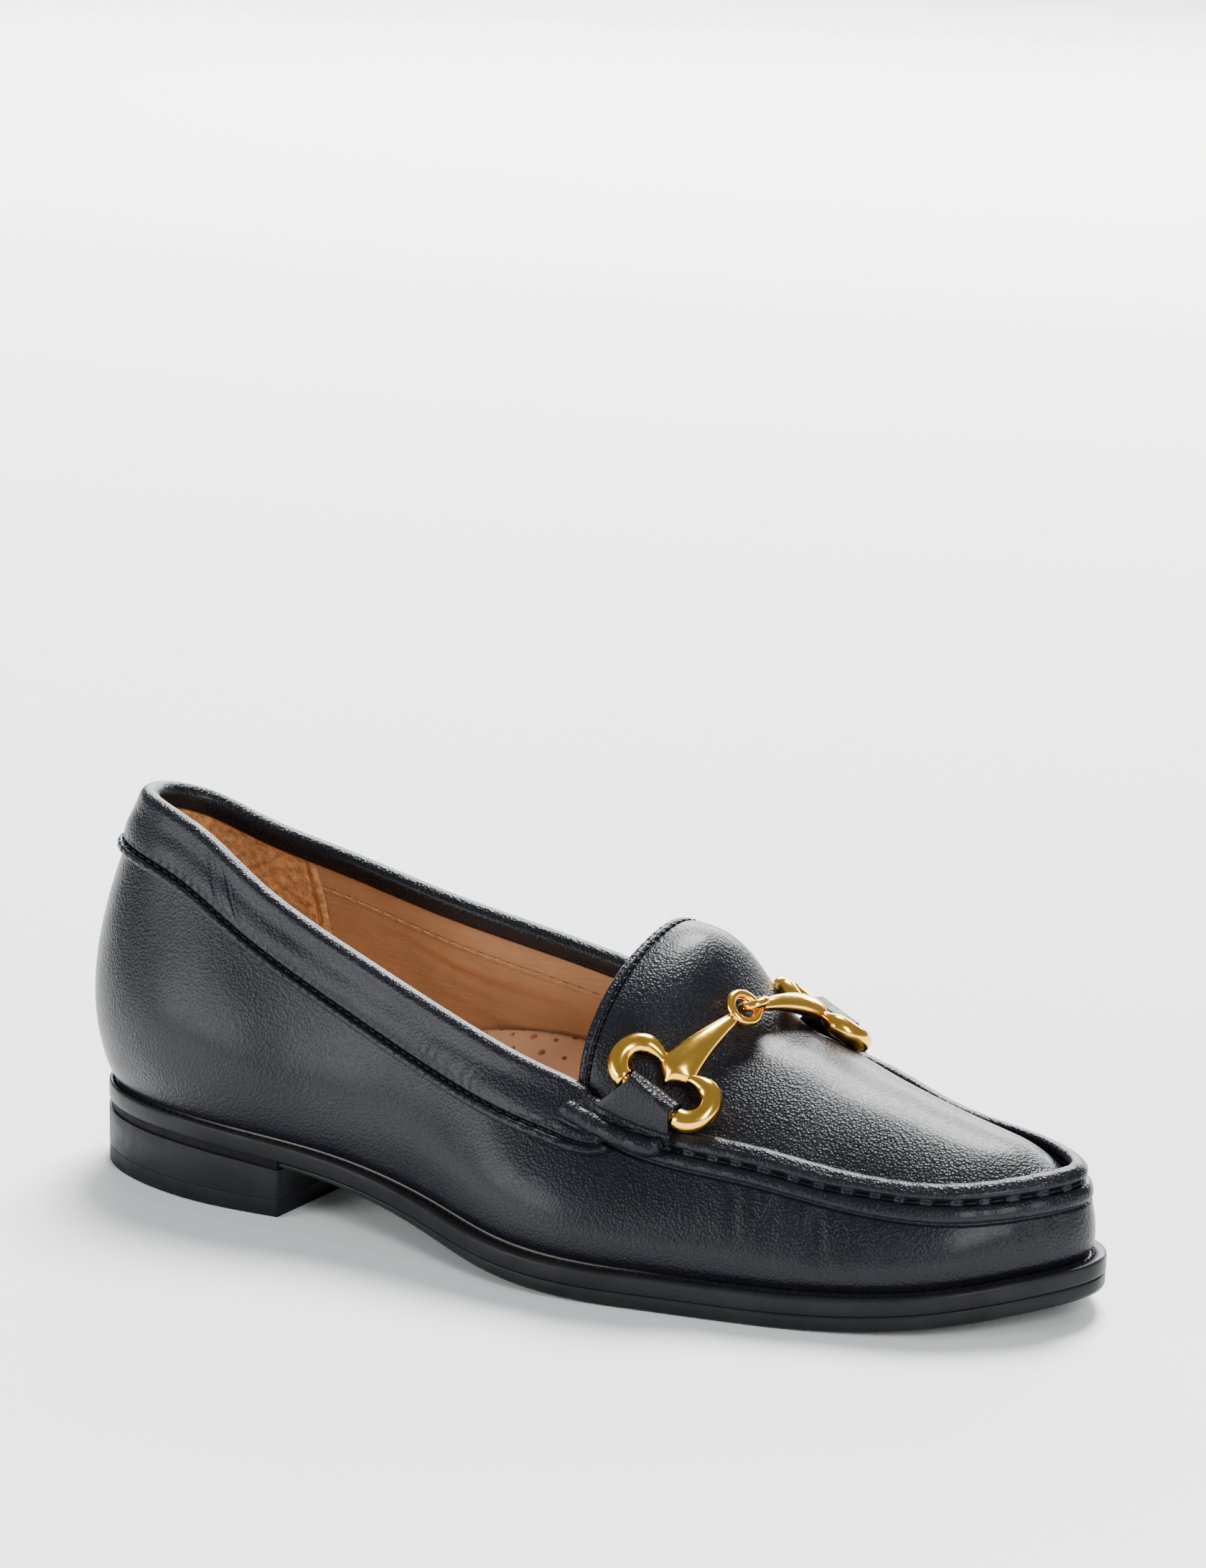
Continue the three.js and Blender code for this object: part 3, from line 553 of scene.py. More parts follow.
def piece(name, points, faces, materials, slot, stands_for=()):
    """A mesh object from millimetre points, riding on the shoe's one body."""
    half_heel = bpy.context.scene.loafer_sizes.heel_length / 2
    points = np.asarray(points).reshape(-1, 3) * MM - np.array([half_heel, 0, 0])
    mesh = bpy.data.meshes.new(name)
    mesh.from_pydata(points.tolist(), [], [tuple(int(c) for c in f) for f in faces])
    mesh.validate()
    mesh.polygons.foreach_set("use_smooth", [True] * len(mesh.polygons))
    for material in materials if isinstance(materials, (list, tuple)) else [materials]:
        mesh.materials.append(material)
    mesh.update()
    obj = bpy.data.objects.new(name, mesh)
    bpy.context.scene.collection.objects.link(obj)
    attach(obj, "root")
    if stands_for:
        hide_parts(*stands_for)
    return obj


def sheet(name, grid, materials, slot, thickness, stands_for=(), outward=False):
    """A leather sheet from a grid of points, thickened in mm behind its face."""
    obj = piece(name, grid, quads(*grid.shape[:2]), materials, slot, stands_for)
    solid = obj.modifiers.new("Thickness", "SOLIDIFY")
    solid.thickness = thickness * MM
    solid.offset = 1 if outward else -1
    solid.use_even_offset = False
    solid.material_offset = 1 if isinstance(materials, (list, tuple)) and len(materials) > 1 else 0
    return obj


def threads(centres, along, away, size, radius, arch, sink=0.0, rings=7, sides=6):
    """Points and faces of a row of stitches: short arched threads that dip into the leather."""
    u = np.linspace(-1, 1, rings)
    angle = turns(sides)
    along, away = unit(along), unit(away)
    side = unit(np.cross(along, away))
    spine = (
        centres[:, None]
        + along[:, None] * (u * size / 2)[None, :, None]
        + away[:, None] * (arch * (1 - u**2) - sink)[None, :, None]
    )
    thick = radius * (1 - 0.55 * u**6)
    round_ = (
        side[:, None, None] * np.cos(angle)[None, None, :, None]
        + away[:, None, None] * np.sin(angle)[None, None, :, None]
    )
    points = spine[:, :, None] + round_ * thick[None, :, None, None]
    each = quads(rings, sides, ring_columns=True)
    faces = np.concatenate([each + k * rings * sides for k in range(len(centres))])
    ends = []
    for k in range(len(centres)):
        base = k * rings * sides
        ends.append([base + j for j in range(sides)][::-1])
        ends.append([base + (rings - 1) * sides + j for j in range(sides)])
    return points.reshape(-1, 3), faces.tolist() + ends


def spaced(t, points, pitch, margin=0.0):
    """Values of t at an even pitch along a line of points."""
    run = run_of(points)
    count = max(1, int((run[-1] - 2 * margin) / pitch))
    start = (run[-1] - (count - 1) * pitch) / 2
    return np.interp(start + pitch * np.arange(count), run, t)


def wall_stitches(last, t, below, lift, size, radius, arch, sink=0.0):
    """Stitches along the wall, at the given places."""
    t, below, lift = np.broadcast_arrays(t, below, lift)
    along = tangent(lambda v: last.on_wall(v, below, lift), t)
    return threads(last.on_wall(t, below, lift), along, last.normal(t, below), size, radius, arch, sink)


def joined(parts):
    """Several (points, faces) as one."""
    points, faces, start = [], [], 0
    for p, f in parts:
        p = np.asarray(p).reshape(-1, 3)
        points.append(p)
        faces += [tuple(int(c) + start for c in face) for face in f]
        start += len(p)
    return np.concatenate(points), faces


def tube(path, radius, sides, frames, closed=False):
    """Points and faces of a tube along a path. frames is the direction of the sections' tops, one
    for all or one for each."""
    path = np.asarray(path)
    if closed:
        forward = unit(np.roll(path, -1, 0) - np.roll(path, 1, 0))
    else:
        forward = unit(np.gradient(path, axis=0))
    top = unit(frames - (frames * forward).sum(1, keepdims=True) * forward)
    side = np.cross(forward, top)
    angle = turns(sides)
    radius = np.broadcast_to(radius, (len(path),))[:, None, None]
    round_ = side[:, None] * np.cos(angle)[None, :, None] + top[:, None] * np.sin(angle)[None, :, None]
    points = path[:, None] + round_ * radius
    faces = quads(len(path), sides, closed, True).tolist()
    if not closed:
        faces.append(tuple(range(sides))[::-1])
        faces.append(tuple((len(path) - 1) * sides + j for j in range(sides)))
    return points.reshape(-1, 3), faces


# Materials


def material(name):
    """A fresh node material with its shader and a texture coordinate."""
    made = bpy.data.materials.new(name)
    made.use_nodes = True
    tree = made.node_tree
    shader = tree.nodes["Principled BSDF"]
    where = tree.nodes.new("ShaderNodeTexCoord")
    return made, tree, shader, where.outputs["Object"]


def noise(tree, where, scale, detail=3.0, roughness=0.55):
    node = tree.nodes.new("ShaderNodeTexNoise")
    node.inputs["Scale"].default_value = scale
    node.inputs["Detail"].default_value = detail
    node.inputs["Roughness"].default_value = roughness
    tree.links.new(where, node.inputs["Vector"])
    return node.outputs["Fac"]


def cells(tree, where, scale):
    node = tree.nodes.new("ShaderNodeTexVoronoi")
    node.inputs["Scale"].default_value = scale
    tree.links.new(where, node.inputs["Vector"])
    return node.outputs["Distance"]


def stretched(tree, where, scale):
    """The coordinate with its axes scaled, for grain that runs one way."""
    node = tree.nodes.new("ShaderNodeMapping")
    node.inputs["Scale"].default_value = scale
    tree.links.new(where, node.inputs["Vector"])
    return node.outputs["Vector"]


def between(tree, value, low, high, from_low=0.0, from_high=1.0):
    node = tree.nodes.new("ShaderNodeMapRange")
    for name, number in zip(("From Min", "From Max", "To Min", "To Max"), (from_low, from_high, low, high)):
        node.inputs[name].default_value = number
    tree.links.new(value, node.inputs["Value"])
    return node.outputs["Result"]


def two_tone(tree, value, dark, light, low=0.3, high=0.7):
    node = tree.nodes.new("ShaderNodeValToRGB")
    node.color_ramp.elements[0].position = low
    node.color_ramp.elements[0].color = (*dark, 1)
    node.color_ramp.elements[1].position = high
    node.color_ramp.elements[1].color = (*light, 1)
    tree.links.new(value, node.inputs["Fac"])
    return node.outputs["Color"]


def bumps(tree, shader, layers):
    """Bump nodes in a chain: (height, strength, distance in metres) from the largest to the finest."""
    before = None
    for height, strength, distance in layers:
        node = tree.nodes.new("ShaderNodeBump")
        node.inputs["Strength"].default_value = strength
        node.inputs["Distance"].default_value = distance
        tree.links.new(height, node.inputs["Height"])
        if before:
            tree.links.new(before, node.inputs["Normal"])
        before = node.outputs["Normal"]
    tree.links.new(before, shader.inputs["Normal"])


def shade(value, share):
    return tuple(min(1.0, c * share) for c in value)


def clouded(tree, shader, value, base, dark, light, low=0.3, high=0.7):
    """Base colour between two shades of one tone."""
    tones = two_tone(tree, value, shade(base, dark), shade(base, light), low, high)
    tree.links.new(tones, shader.inputs["Base Color"])


def roughened(tree, shader, value, low, high):
    """Roughness that wanders between two values."""
    tree.links.new(between(tree, value, low, high, 0.3, 0.7), shader.inputs["Roughness"])


def uniform(shader, values):
    for name, value in values.items():
        shader.inputs[name].default_value = value


def calf_leather(name):
    """Black calf with a fine pebble grain and a soft satin finish."""
    made, tree, shader, where = material(name)
    clouded(tree, shader, noise(tree, where, 70, 4), bpy.context.scene.loafer_colours.calf, 0.8, 1.3)
    roughened(tree, shader, noise(tree, where, 160, 5), 0.27, 0.37)
    uniform(shader, {"Specular IOR Level": 0.14, "Coat Weight": 0.12, "Coat Roughness": 0.22})
    bumps(
        tree,
        shader,
        (
            (noise(tree, where, 120, 2), 0.12, 0.0006),
            (cells(tree, where, 1500), 0.5, 0.00035),
            (noise(tree, where, 2600, 3), 0.45, 0.0002),
        ),
    )
    return made


def lining_leather(name, base, creased=True):
    """Tan lining leather; creased gives it fine lines along the foot."""
    made, tree, shader, where = material(name)
    clouded(tree, shader, noise(tree, where, 45, 5), base, 0.86, 1.1)
    roughened(tree, shader, noise(tree, where, 300, 4), 0.42, 0.6)
    uniform(shader, {"Specular IOR Level": 0.4})
    lines = stretched(tree, where, (0.22, 0.5, 1.5))
    layers = [(cells(tree, where, 2200), 0.16, 0.0001), (noise(tree, where, 900, 3), 0.2, 0.0001)]
    if creased:
        layers.insert(0, (noise(tree, lines, 420, 5, 0.62), 0.5, 0.0007))
    bumps(tree, shader, layers)
    return made


def suede(name):
    """Napped heel grip: short mottled fibres, no gloss."""
    made, tree, shader, where = material(name)
    nap = noise(tree, where, 520, 6, 0.72)
    clouded(tree, shader, nap, bpy.context.scene.loafer_colours.suede, 0.55, 1.75, 0.34, 0.68)
    uniform(shader, {"Roughness": 0.95, "Specular IOR Level": 0.15})
    uniform(shader, {"Sheen Weight": 0.35, "Sheen Roughness": 0.5, "Sheen Tint": (1.0, 0.8, 0.55, 1)})
    bumps(
        tree,
        shader,
        ((noise(tree, where, 380, 4), 0.7, 0.0008), (noise(tree, where, 1500, 5, 0.7), 0.8, 0.0004)),
    )
    return made


def edge_paint(name, base, roughness=0.36, lines=True):
    """Inked and burnished sole edge, with faint lines of its layers."""
    made, tree, shader, where = material(name)
    clouded(tree, shader, noise(tree, where, 90, 4), base, 0.8, 1.35)
    roughened(tree, shader, noise(tree, where, 240, 4), roughness - 0.06, roughness + 0.08)
    uniform(shader, {"Specular IOR Level": 0.1})
    layers = [(noise(tree, where, 500, 4), 0.14, 0.0002), (noise(tree, where, 2400, 2), 0.1, 0.0001)]
    if lines:
        along = stretched(tree, where, (0.04, 0.04, 3.0))
        layers.insert(0, (noise(tree, along, 500, 3), 0.16, 0.0003))
    bumps(tree, shader, layers)
    return made


def waxed_thread(name, base, roughness):
    """Twisted thread: fine slanting strands."""
    made, tree, shader, where = material(name)
    strands = noise(tree, stretched(tree, where, (1.0, 0.4, 1.0)), 2600, 2)
    clouded(tree, shader, strands, base, 0.7, 1.3)
    uniform(shader, {"Roughness": roughness, "Specular IOR Level": 0.12})
    bumps(tree, shader, ((strands, 0.5, 0.0002),))
    return made


def plated_gold(name):
    """Polished gold-tone plating with a trace of handling haze."""
    made, tree, shader, where = material(name)
    clouded(tree, shader, noise(tree, where, 60, 3), bpy.context.scene.loafer_colours.gold, 0.94, 1.05)
    uniform(shader, {"Metallic": 1.0})
    roughened(tree, shader, noise(tree, where, 500, 5), 0.13, 0.21)
    bumps(tree, shader, ((noise(tree, where, 180, 2), 0.05, 0.0004),))
    return made


def pale_floor(name):
    made, tree, shader, where = material(name)
    clouded(tree, shader, noise(tree, where, 3, 2), bpy.context.scene.loafer_colours.floor, 0.995, 1.0)
    uniform(shader, {"Roughness": 0.9, "Specular IOR Level": 0.1})
    return made


def kept(make, name, *details):
    """The material of that name, made once."""
    return bpy.data.materials.get(name) or make(name, *details)


def black_calf():
    return kept(calf_leather, "Black calf")


def black_thread():
    return kept(waxed_thread, "Black thread", bpy.context.scene.loafer_colours.thread, 0.4)


def tan_lining():
    return kept(lining_leather, "Tan lining", bpy.context.scene.loafer_colours.lining)


def context_of(context):
    """The last, the stitching in millimetres and the colours."""
    scene = context.scene
    return Last(in_mm(scene.loafer_sizes)), in_mm(scene.loafer_stitching), scene.loafer_colours


# Reliefs of the upper


def valley_at(x):
    """How far the stitches of the toe seam lie below the top edge."""
    return mix(3.3, 2.5, smooth((x - 202) / 16))


def seam_phase(run, pitch):
    """Stitch count along the toe seam, a little uneven as by hand."""
    return run / pitch + 0.07 * np.sin(run / 7.3) + 0.05 * np.sin(run / 3.1 + 1)


def moccasin_relief(below, phase, valley):
    """The toe seam: a rolled bead, a valley drawn in by each stitch, a second bead and its crease."""
    wave = np.cos(2 * np.pi * phase)
    pull = smooth(0.65 + 1.1 * wave)
    low = CREASE_BELOW
    upper = (1.35 - 0.05 * (1 + wave)) * dome((below - (valley * 0.5 - 0.45)) / (valley * 0.5 + 0.05))
    lower_middle, lower_half = (valley + low) / 2 + 0.2, (low - valley) / 2 - 0.25
    lower = (1.05 - 0.07 * (1 + wave)) * dome((below - lower_middle) / lower_half)
    floor = mix(0.5, -0.8, pull) * bell((below - valley) / 1.5)
    seam = np.maximum(upper, lower)
    seam = np.where(np.abs(below - valley) < 1.5, mix(seam, floor, bell((below - valley) / 0.95)), seam)
    return seam - 0.4 * bell((below - low - 0.25) / 0.65)


def pucker_relief(last, t, below):
    """Soft vertical troughs and ridges, placed one by one along the toe seam."""
    x = last.edge.x(t)
    medial = (t > 0.5).astype(float)
    relief = np.zeros(np.broadcast(x, below).shape)
    for p in rows_of(PUCKER_COLUMNS, PUCKERS):
        down = (below - p.from_seam) / p.run
        side = np.where(np.abs(medial - p.medial) < 0.5, 1.0, 0.0)
        fade = smooth((down + 0.05) / 0.15) * (1 - smooth((down - 0.25) / 0.75)) * side
        across = (x - p.x - p.slant * down) / p.wide
        ridges, trough = 0.5 * np.exp(-((np.abs(across) - 1.8) ** 2)), np.exp(-(across**2))
        relief += fade * 0.6 * p.deep * (ridges - trough)
    return relief


def drape_relief(run, below):
    """Slow waves that keep the leather from looking machined."""
    return (
        0.1 * np.sin(run / 17 + 0.4) * np.sin(below / 13 + 1)
        + 0.07 * np.sin(run / 9.3 + below / 11)
        + 0.04 * np.sin(run / 5.1 - below / 6.3 + 2)
    )


def edge_roll(outer, inner, below_outer, outer_lift, inner_lift, steps):
    """Points over the top edge, from the outer face to the inner one."""
    middle = (outer + inner) / 2
    normal = unit(outer - inner)
    up = unit(outer - below_outer)
    half = np.linalg.norm(outer - inner, axis=-1, keepdims=True) / 2
    rows = []
    for share in steps:
        angle = np.pi * share
        radius = half + mix(outer_lift, inner_lift, share)[..., None]
        height = half + outer_lift[..., None]
        rows.append(middle + normal * np.cos(angle) * radius + up * np.sin(angle) * height)
    return np.stack(rows, -2)


class LOAFER_OT_upper(bpy.types.Operator):
    """Vamp and quarters: one black calf skin with the moccasin seam, its puckers and soft drape"""

    bl_idname = "loafer.upper"
    bl_label = "Upper"

    def execute(self, context):
        last, stitch, _ = context_of(context)
        s = last.s
        fine_from = 150.0
        front = float(last.position_at(fine_from)), float(last.position_at(fine_from, True))
        back = np.linspace(front[1] - 1, front[0], 331)[:-1]
        t = np.concatenate([np.linspace(*front, 590)[:-1], back + 1]) % 1.0
        t = np.sort(t)
        wall = last.wall_length(t)
        valley = valley_at(last.edge.x(t))
        line = last.on_wall(t, valley)
        run = run_of(line)
        near = np.concatenate([np.linspace(0.12, 8.2, 40), np.linspace(8.7, 13.5, 8)])
        far = np.linspace(0, 1, 24)[1:]
        near, far = np.tile(near, (len(t), 1)), mix(near[-1], wall[:, None], far[None])
        below = np.concatenate([near, far], 1)[:, ::-1]
        share = last.seam_share(t)[:, None]
        phase = seam_phase(run, stitch.moccasin_pitch)[:, None]
        seam = moccasin_relief(below, phase, valley[:, None]) * share
        foot = smooth((wall[:, None] - below) / 6)
        tucked = -0.5 * bell((wall[:, None] - below) / 2.2)
        loose = smooth((below - 7) / 3)
        puckers, drape = pucker_relief(last, t[:, None], below), drape_relief(run[:, None], below)
        soft = (puckers * share + drape) * loose * foot
        outer = last.on_wall(t[:, None], below, seam + soft + tucked)
        lift = moccasin_relief(np.full(len(t), 0.12), phase[:, 0], valley) * share[:, 0]
        top_out, top_in = last.on_wall(t, 0), last.on_wall(t, 0, -s.wall)
        steps = (0.06, 0.16, 0.28, 0.4, 0.5, 0.6, 0.72, 0.84, 0.94)
        roll = edge_roll(top_out, top_in, last.on_wall(t, 1), lift, lift * 0.2, steps)
        legs = np.array([0.4, 1.2, 2.2, 3.4])
        leg_lift = lift[:, None] * 0.2 * np.array([1, 1, 0.6, 0.0])[None]
        inner = last.on_wall(t[:, None], legs[None], -s.wall - leg_lift)
        grid = np.concatenate([outer, roll, inner], 1)
        faces = quads(*grid.shape[:2], True)
        piece("upper_leather", grid, faces, black_calf(), "upper_leather", ("upper",))
        self.seam_threads(last, stitch, t, phase[:, 0])
        return {"FINISHED"}

    def seam_threads(self, last, stitch, t, phase):
        """Hand-sewn thread in the valley of the toe seam, and through the bead inside."""
        s = last.s
        start = float(last.position_at(last.band_front + 30))
        end = float(last.position_at(last.band_front + 32, True))
        counts = np.arange(math.ceil(phase[0]), math.floor(phase[-1]) + 1)
        places = np.interp(counts, phase, t)
        places = places[(places > start) & (places < end)]
        valley = valley_at(last.edge.x(places))
        pitch, radius = stitch.moccasin_pitch, stitch.moccasin_thread
        outside = wall_stitches(last, places, valley, -0.6, pitch * 0.7, radius, 0.25, 0.1)
        inside = wall_stitches(last, places, 1.5, -s.wall - 0.62, pitch * 0.5, radius * 0.8, -0.25, 0)
        piece("moccasin_thread", *joined([outside, inside]), black_thread(), "upper_leather")


class LOAFER_OT_collar_band(bpy.types.Operator):
    """Folded collar band with its stitched groove and raised lower bead"""

    bl_idname = "loafer.collar_band"
    bl_label = "Collar band"

    def execute(self, context):
        last, stitch, _ = context_of(context)
        s = last.s
        lateral_end = float(last.position_at(last.band_front))
        medial_end = float(last.position_at(last.band_front, True))
        t = np.linspace(medial_end - 1, lateral_end, 760)
        run = run_of(last.on_wall(t, 5.0))[:, None]
        ends = np.minimum(run, run[-1] - run)
        thick = s.gap + s.band_thickness
        depth = s.band_depth
        stitched = depth - BAND_GROOVE
        below = depth - np.concatenate([[0, 0.05, 0.15, 0.32], np.linspace(0.5, depth - 0.35, 52)])
        grid_t = self.ahead(last, t[:, None], below[None])
        x = last.edge.x(grid_t)
        from_edge = self.from_edge(last, x, below[None])
        count = run / stitch.band_pitch
        pull = 0.5 + 0.5 * np.cos(2 * np.pi * count)
        bead = (0.8 - 0.16 * pull) * dome((from_edge - 1.15) / 1.2)
        edge = -1.3 * (1 - dome(np.clip(1 - from_edge / 0.55, 0, 1)))
        groove = -(0.9 + 0.2 * pull) * bell((from_edge - BAND_GROOVE) / 0.7)
        puff = 0.3 * bell((from_edge - 6.4) / 4.6) - 0.12 * pull * bell((from_edge - 3.8) / 1.2)
        wave = 0.05 * np.sin(run / 2.9 + below / 3 + np.sin(run / 13)) * bell((below - 7) / 5)
        lateral = (grid_t > 0) & (grid_t < 0.5)
        flank = smooth((x - 96) / 8) * (1 - smooth((x - 118) / 10)) * lateral
        wrinkle = 0.06 * flank * np.sin(x * 2.1 + 1.7 * np.sin(x / 2.3)) * bell((below - 7.8) / 2.6)
        piecing = self.join_lines(x - below, below) * lateral
        fade = np.maximum(smooth(ends / 2.5), smooth((below - 7) / 1.5)[None])
        relief = mix(0.1, thick, fade) + (bead + edge + groove + puff + wave) * fade + wrinkle + piecing
        outer = last.on_wall(grid_t, below[None], relief)
        lift = mix(0.1, thick, smooth(ends / 2.5))[:, 0]
        rim = self.ahead(last, t, 0.0)
        steps = np.linspace(0.04, 0.96, 17)
        top_out, top_in = last.on_wall(rim, 0), last.on_wall(rim, 0, -s.wall)
        roll = edge_roll(top_out, top_in, last.on_wall(rim, 1), lift, lift, steps)
        legs = np.linspace(0.3, s.band_inside - 1.6, 8)
        tuck = 0.7 * smooth((legs - legs[-1] + 0.8) / 0.8)
        inner = last.on_wall(rim[:, None], legs[None], -s.wall - lift[:, None] + tuck[None])
        grid = np.concatenate([outer, roll, inner], 1)
        faces = quads(*grid.shape[:2])
        piece("collar_band_leather", grid, faces, black_calf(), "upper_leather", ("collar_band",))
        counts = np.arange(2, int(count[-1, 0]) - 1)
        places = np.interp(counts, count[:, 0], t)
        where = self.ahead(last, places, stitched)
        to_edge = self.from_edge(last, last.edge.x(where), stitched)
        row = stitched + np.clip(to_edge - BAND_GROOVE, -BAND_GROOVE, 0)
        size, radius = stitch.band_pitch * 0.72, stitch.fine_thread * 1.6
        stitches = wall_stitches(last, where, row, thick - 0.55, size, radius, 0.42, 0.05)
        piece("band_thread", *stitches, black_thread(), "upper_leather")
        return {"FINISHED"}

    def join_lines(self, lean, below):
        """Slanting join of the band near the heel: a small step between two fine creases."""
        middle = bell((below - 5.5) / 7)
        step = 0.16 * smooth((lean - 33.2) / 0.8) * (1 - smooth((lean - 38.8) / 1.4))
        lines = -0.22 * bell((lean - 30.6) / 0.8) - 0.26 * bell((lean - 38.2) / 0.9)
        return (step + lines) * middle

    def from_edge(self, last, x, below):
        """Distance of a point of the band from its lower edge and the round end of its lobe."""
        s = last.s
        middle, tall, wide = s.band_depth - LOBE_TALL, LOBE_TALL, LOBE_WIDE
        across, down = np.maximum(x - last.band_front, 0) / wide, (below - middle) / tall
        reach = np.sqrt(across**2 + down**2)
        slope = np.sqrt((across / wide) ** 2 + (down / tall) ** 2) / np.maximum(reach, 1e-6)
        lobe = (1 - reach) / np.maximum(slope, 1e-6)
        return np.where((x > last.band_front) & (below > middle), np.maximum(lobe, 0), s.band_depth - below)

    def ahead(self, last, t, below):
        """Spreads the front of the band out to its round lobe, which ends under the tab."""
        s = last.s
        x = last.edge.x(t)
        down = (below - s.band_depth + LOBE_TALL) / LOBE_TALL
        lobe = LOBE_WIDE * np.sqrt(np.clip(1 - np.clip(down, 0, 1) ** 2, 0, 1))
        reach = np.where(down > 0, lobe, mix(BAND_LEAD, LOBE_WIDE, smooth(1 + down)))
        shift = smooth((x - last.band_front + s.lobe_run) / s.lobe_run) * reach
        medial = (t < 0) | (t > 0.5)
        t, shift, medial, x = np.broadcast_arrays(t, shift, medial, x)
        moved = last.position_at(x + shift, medial)
        moved = np.where(t < 0, moved - 1, moved)
        return np.where(shift > 0, moved, t)


class LOAFER_OT_apron(bpy.types.Operator):
    """Apron and tongue in one panel, with the bound and stitched tongue edge"""

    bl_idname = "loafer.apron"
    bl_label = "Apron and tongue"

    def execute(self, context):
        last, stitch, _ = context_of(context)
        s = last.s
        end = 0.4985
        steps = np.concatenate([np.linspace(0, 0.1, 44)[:-1], np.linspace(0.1, 1, 110)])
        t = last.throat + (end - last.throat) * steps
        share = np.linspace(0, 1, 121)
        base = last.apron_point(t[:, None], share[None])
        normal = last.apron_normal(t[:, None], share[None])
        depth = run_of(base)
        round_edge = -0.9 * (1 - dome(np.clip(1 - depth / 0.9, 0, 1)))
        across = run_of(base[0])[None]
        pull = 0.5 + 0.5 * np.cos(2 * np.pi * across / stitch.tongue_pitch)
        sewn = 2.7
        groove = -(0.45 + 0.15 * pull) * bell((depth - sewn) / 0.8)
        bound = 0.26 * bell((depth - 1.3) / 1.4)
        wrinkle = 0.09 * np.sin(across * 2.9 + 2 * np.sin(across / 5)) * bell((depth - 1.3) / 1.5)
        soft = 0.12 * np.sin(base[..., 0] / 13 + 1) * np.sin(base[..., 1] / 9)
        soft = soft * np.sin(np.pi * share)[None] ** 2 * smooth((depth - 4) / 10)
        grid = base + normal * (round_edge + groove + bound + wrinkle + soft)[..., None]
        flanges = self.turned(last, t, grid[:, :1], 0), self.turned(last, t, grid[:, -1:], 1)
        grid = np.concatenate([flanges[0], grid, flanges[1]], 1)
        thickness = s.apron_thickness * 0.8
        sheet("apron_leather", grid, [black_calf(), tan_lining()], "upper_leather", thickness, ("apron",))
        edge_share = np.linspace(0.02, 0.98, 500)
        row_t = self.inset_row(last, edge_share, sewn)
        places = spaced(edge_share, last.apron_point(row_t, edge_share), stitch.tongue_pitch, 1)
        line = lambda share: last.apron_point(np.interp(share, edge_share, row_t), share)
        away = last.apron_normal(np.interp(places, edge_share, row_t), places)
        centres, along = line(places) - away * 0.2, tangent(line, places, 2e-3)
        size, radius = stitch.tongue_pitch * 0.74, stitch.fine_thread * 1.2
        stitches = threads(centres, along, away, size, radius, 0.25, 0.02)
        piece("tongue_thread", *stitches, black_thread(), "upper_leather")
        return {"FINISHED"}

    def turned(self, last, t, rim, medial):
        """Edge of the apron turned up against the toe seam's bead, on one side."""
        below = np.array([0.15, 0.6, 1.2, 1.9])
        inside = last.s.wall + np.array([0.5, 0.75, 0.85, 0.95])
        place = np.abs(medial - t)[:, None]
        target = last.on_wall(place, below[None], -inside[None])
        share = smooth((last.edge.x(t) - last.band_front - 14) / 12)[:, None, None]
        rows = mix(rim, target, share)
        return rows[:, ::-1] if medial else rows

    def inset_row(self, last, share, depth):
        """t at a depth in from the tongue's edge, for each share across."""
        t = last.throat + np.linspace(0, 0.02, 24)
        grid = last.apron_point(t[:, None], share[None])
        run = run_of(grid)
        return np.array([np.interp(depth, run[:, j], t) for j in range(len(share))])


class LOAFER_OT_back_seam(bpy.types.Operator):
    """Raised hand-sewn seam down the back of the heel"""

    bl_idname = "loafer.back_seam"
    bl_label = "Back seam"

    def execute(self, context):
        last, _, _ = context_of(context)
        s = last.s
        step = 1e-3
        speed = np.linalg.norm(tangent(lambda v: last.on_wall(v, 30), 0, step)) / (2 * step)
        wall = float(last.wall_length(np.array([0.0]))[0])
        below = np.linspace(wall - 1, s.band_depth + 0.6, 150)
        across = np.linspace(-0.5, 0.5, 33)
        beat = 0.5 + 0.5 * np.cos(2 * np.pi * below / BACK_PITCH)
        lips = dome((np.abs(across)[:, None] - 0.22) / 0.26)
        pulled = 1 - 0.3 * beat[None] * bell(across / 0.5)[:, None]
        lift = (0.35 + (s.back_seam_thickness - 0.15) * lips) * pulled
        lift = lift * dome(np.clip(across * 2, -1, 1) * 0.999)[:, None] ** 0.5
        t = across * s.back_seam_width / speed
        grid = last.on_wall(t[:, None], below[None], s.gap * 0.3 + lift)
        sheet("back_seam_leather", grid, black_calf(), "upper_leather", 0.25, ("back_seam",))
        rows = np.arange(below.min() + 2, below.max() - 1, BACK_PITCH)
        middle = np.zeros(len(rows))
        side = tangent(lambda v: last.on_wall(v, rows), middle, step)
        down = last.on_wall(middle, rows + 1) - last.on_wall(middle, rows)
        cross = unit(side) + 0.35 * unit(down)
        centres = last.on_wall(middle, rows, 0.75)
        stitches = threads(centres, cross, last.normal(middle, rows), 3.4, 0.42, 0.3, 0.1)
        piece("back_thread", *stitches, black_thread(), "upper_leather")
        return {"FINISHED"}


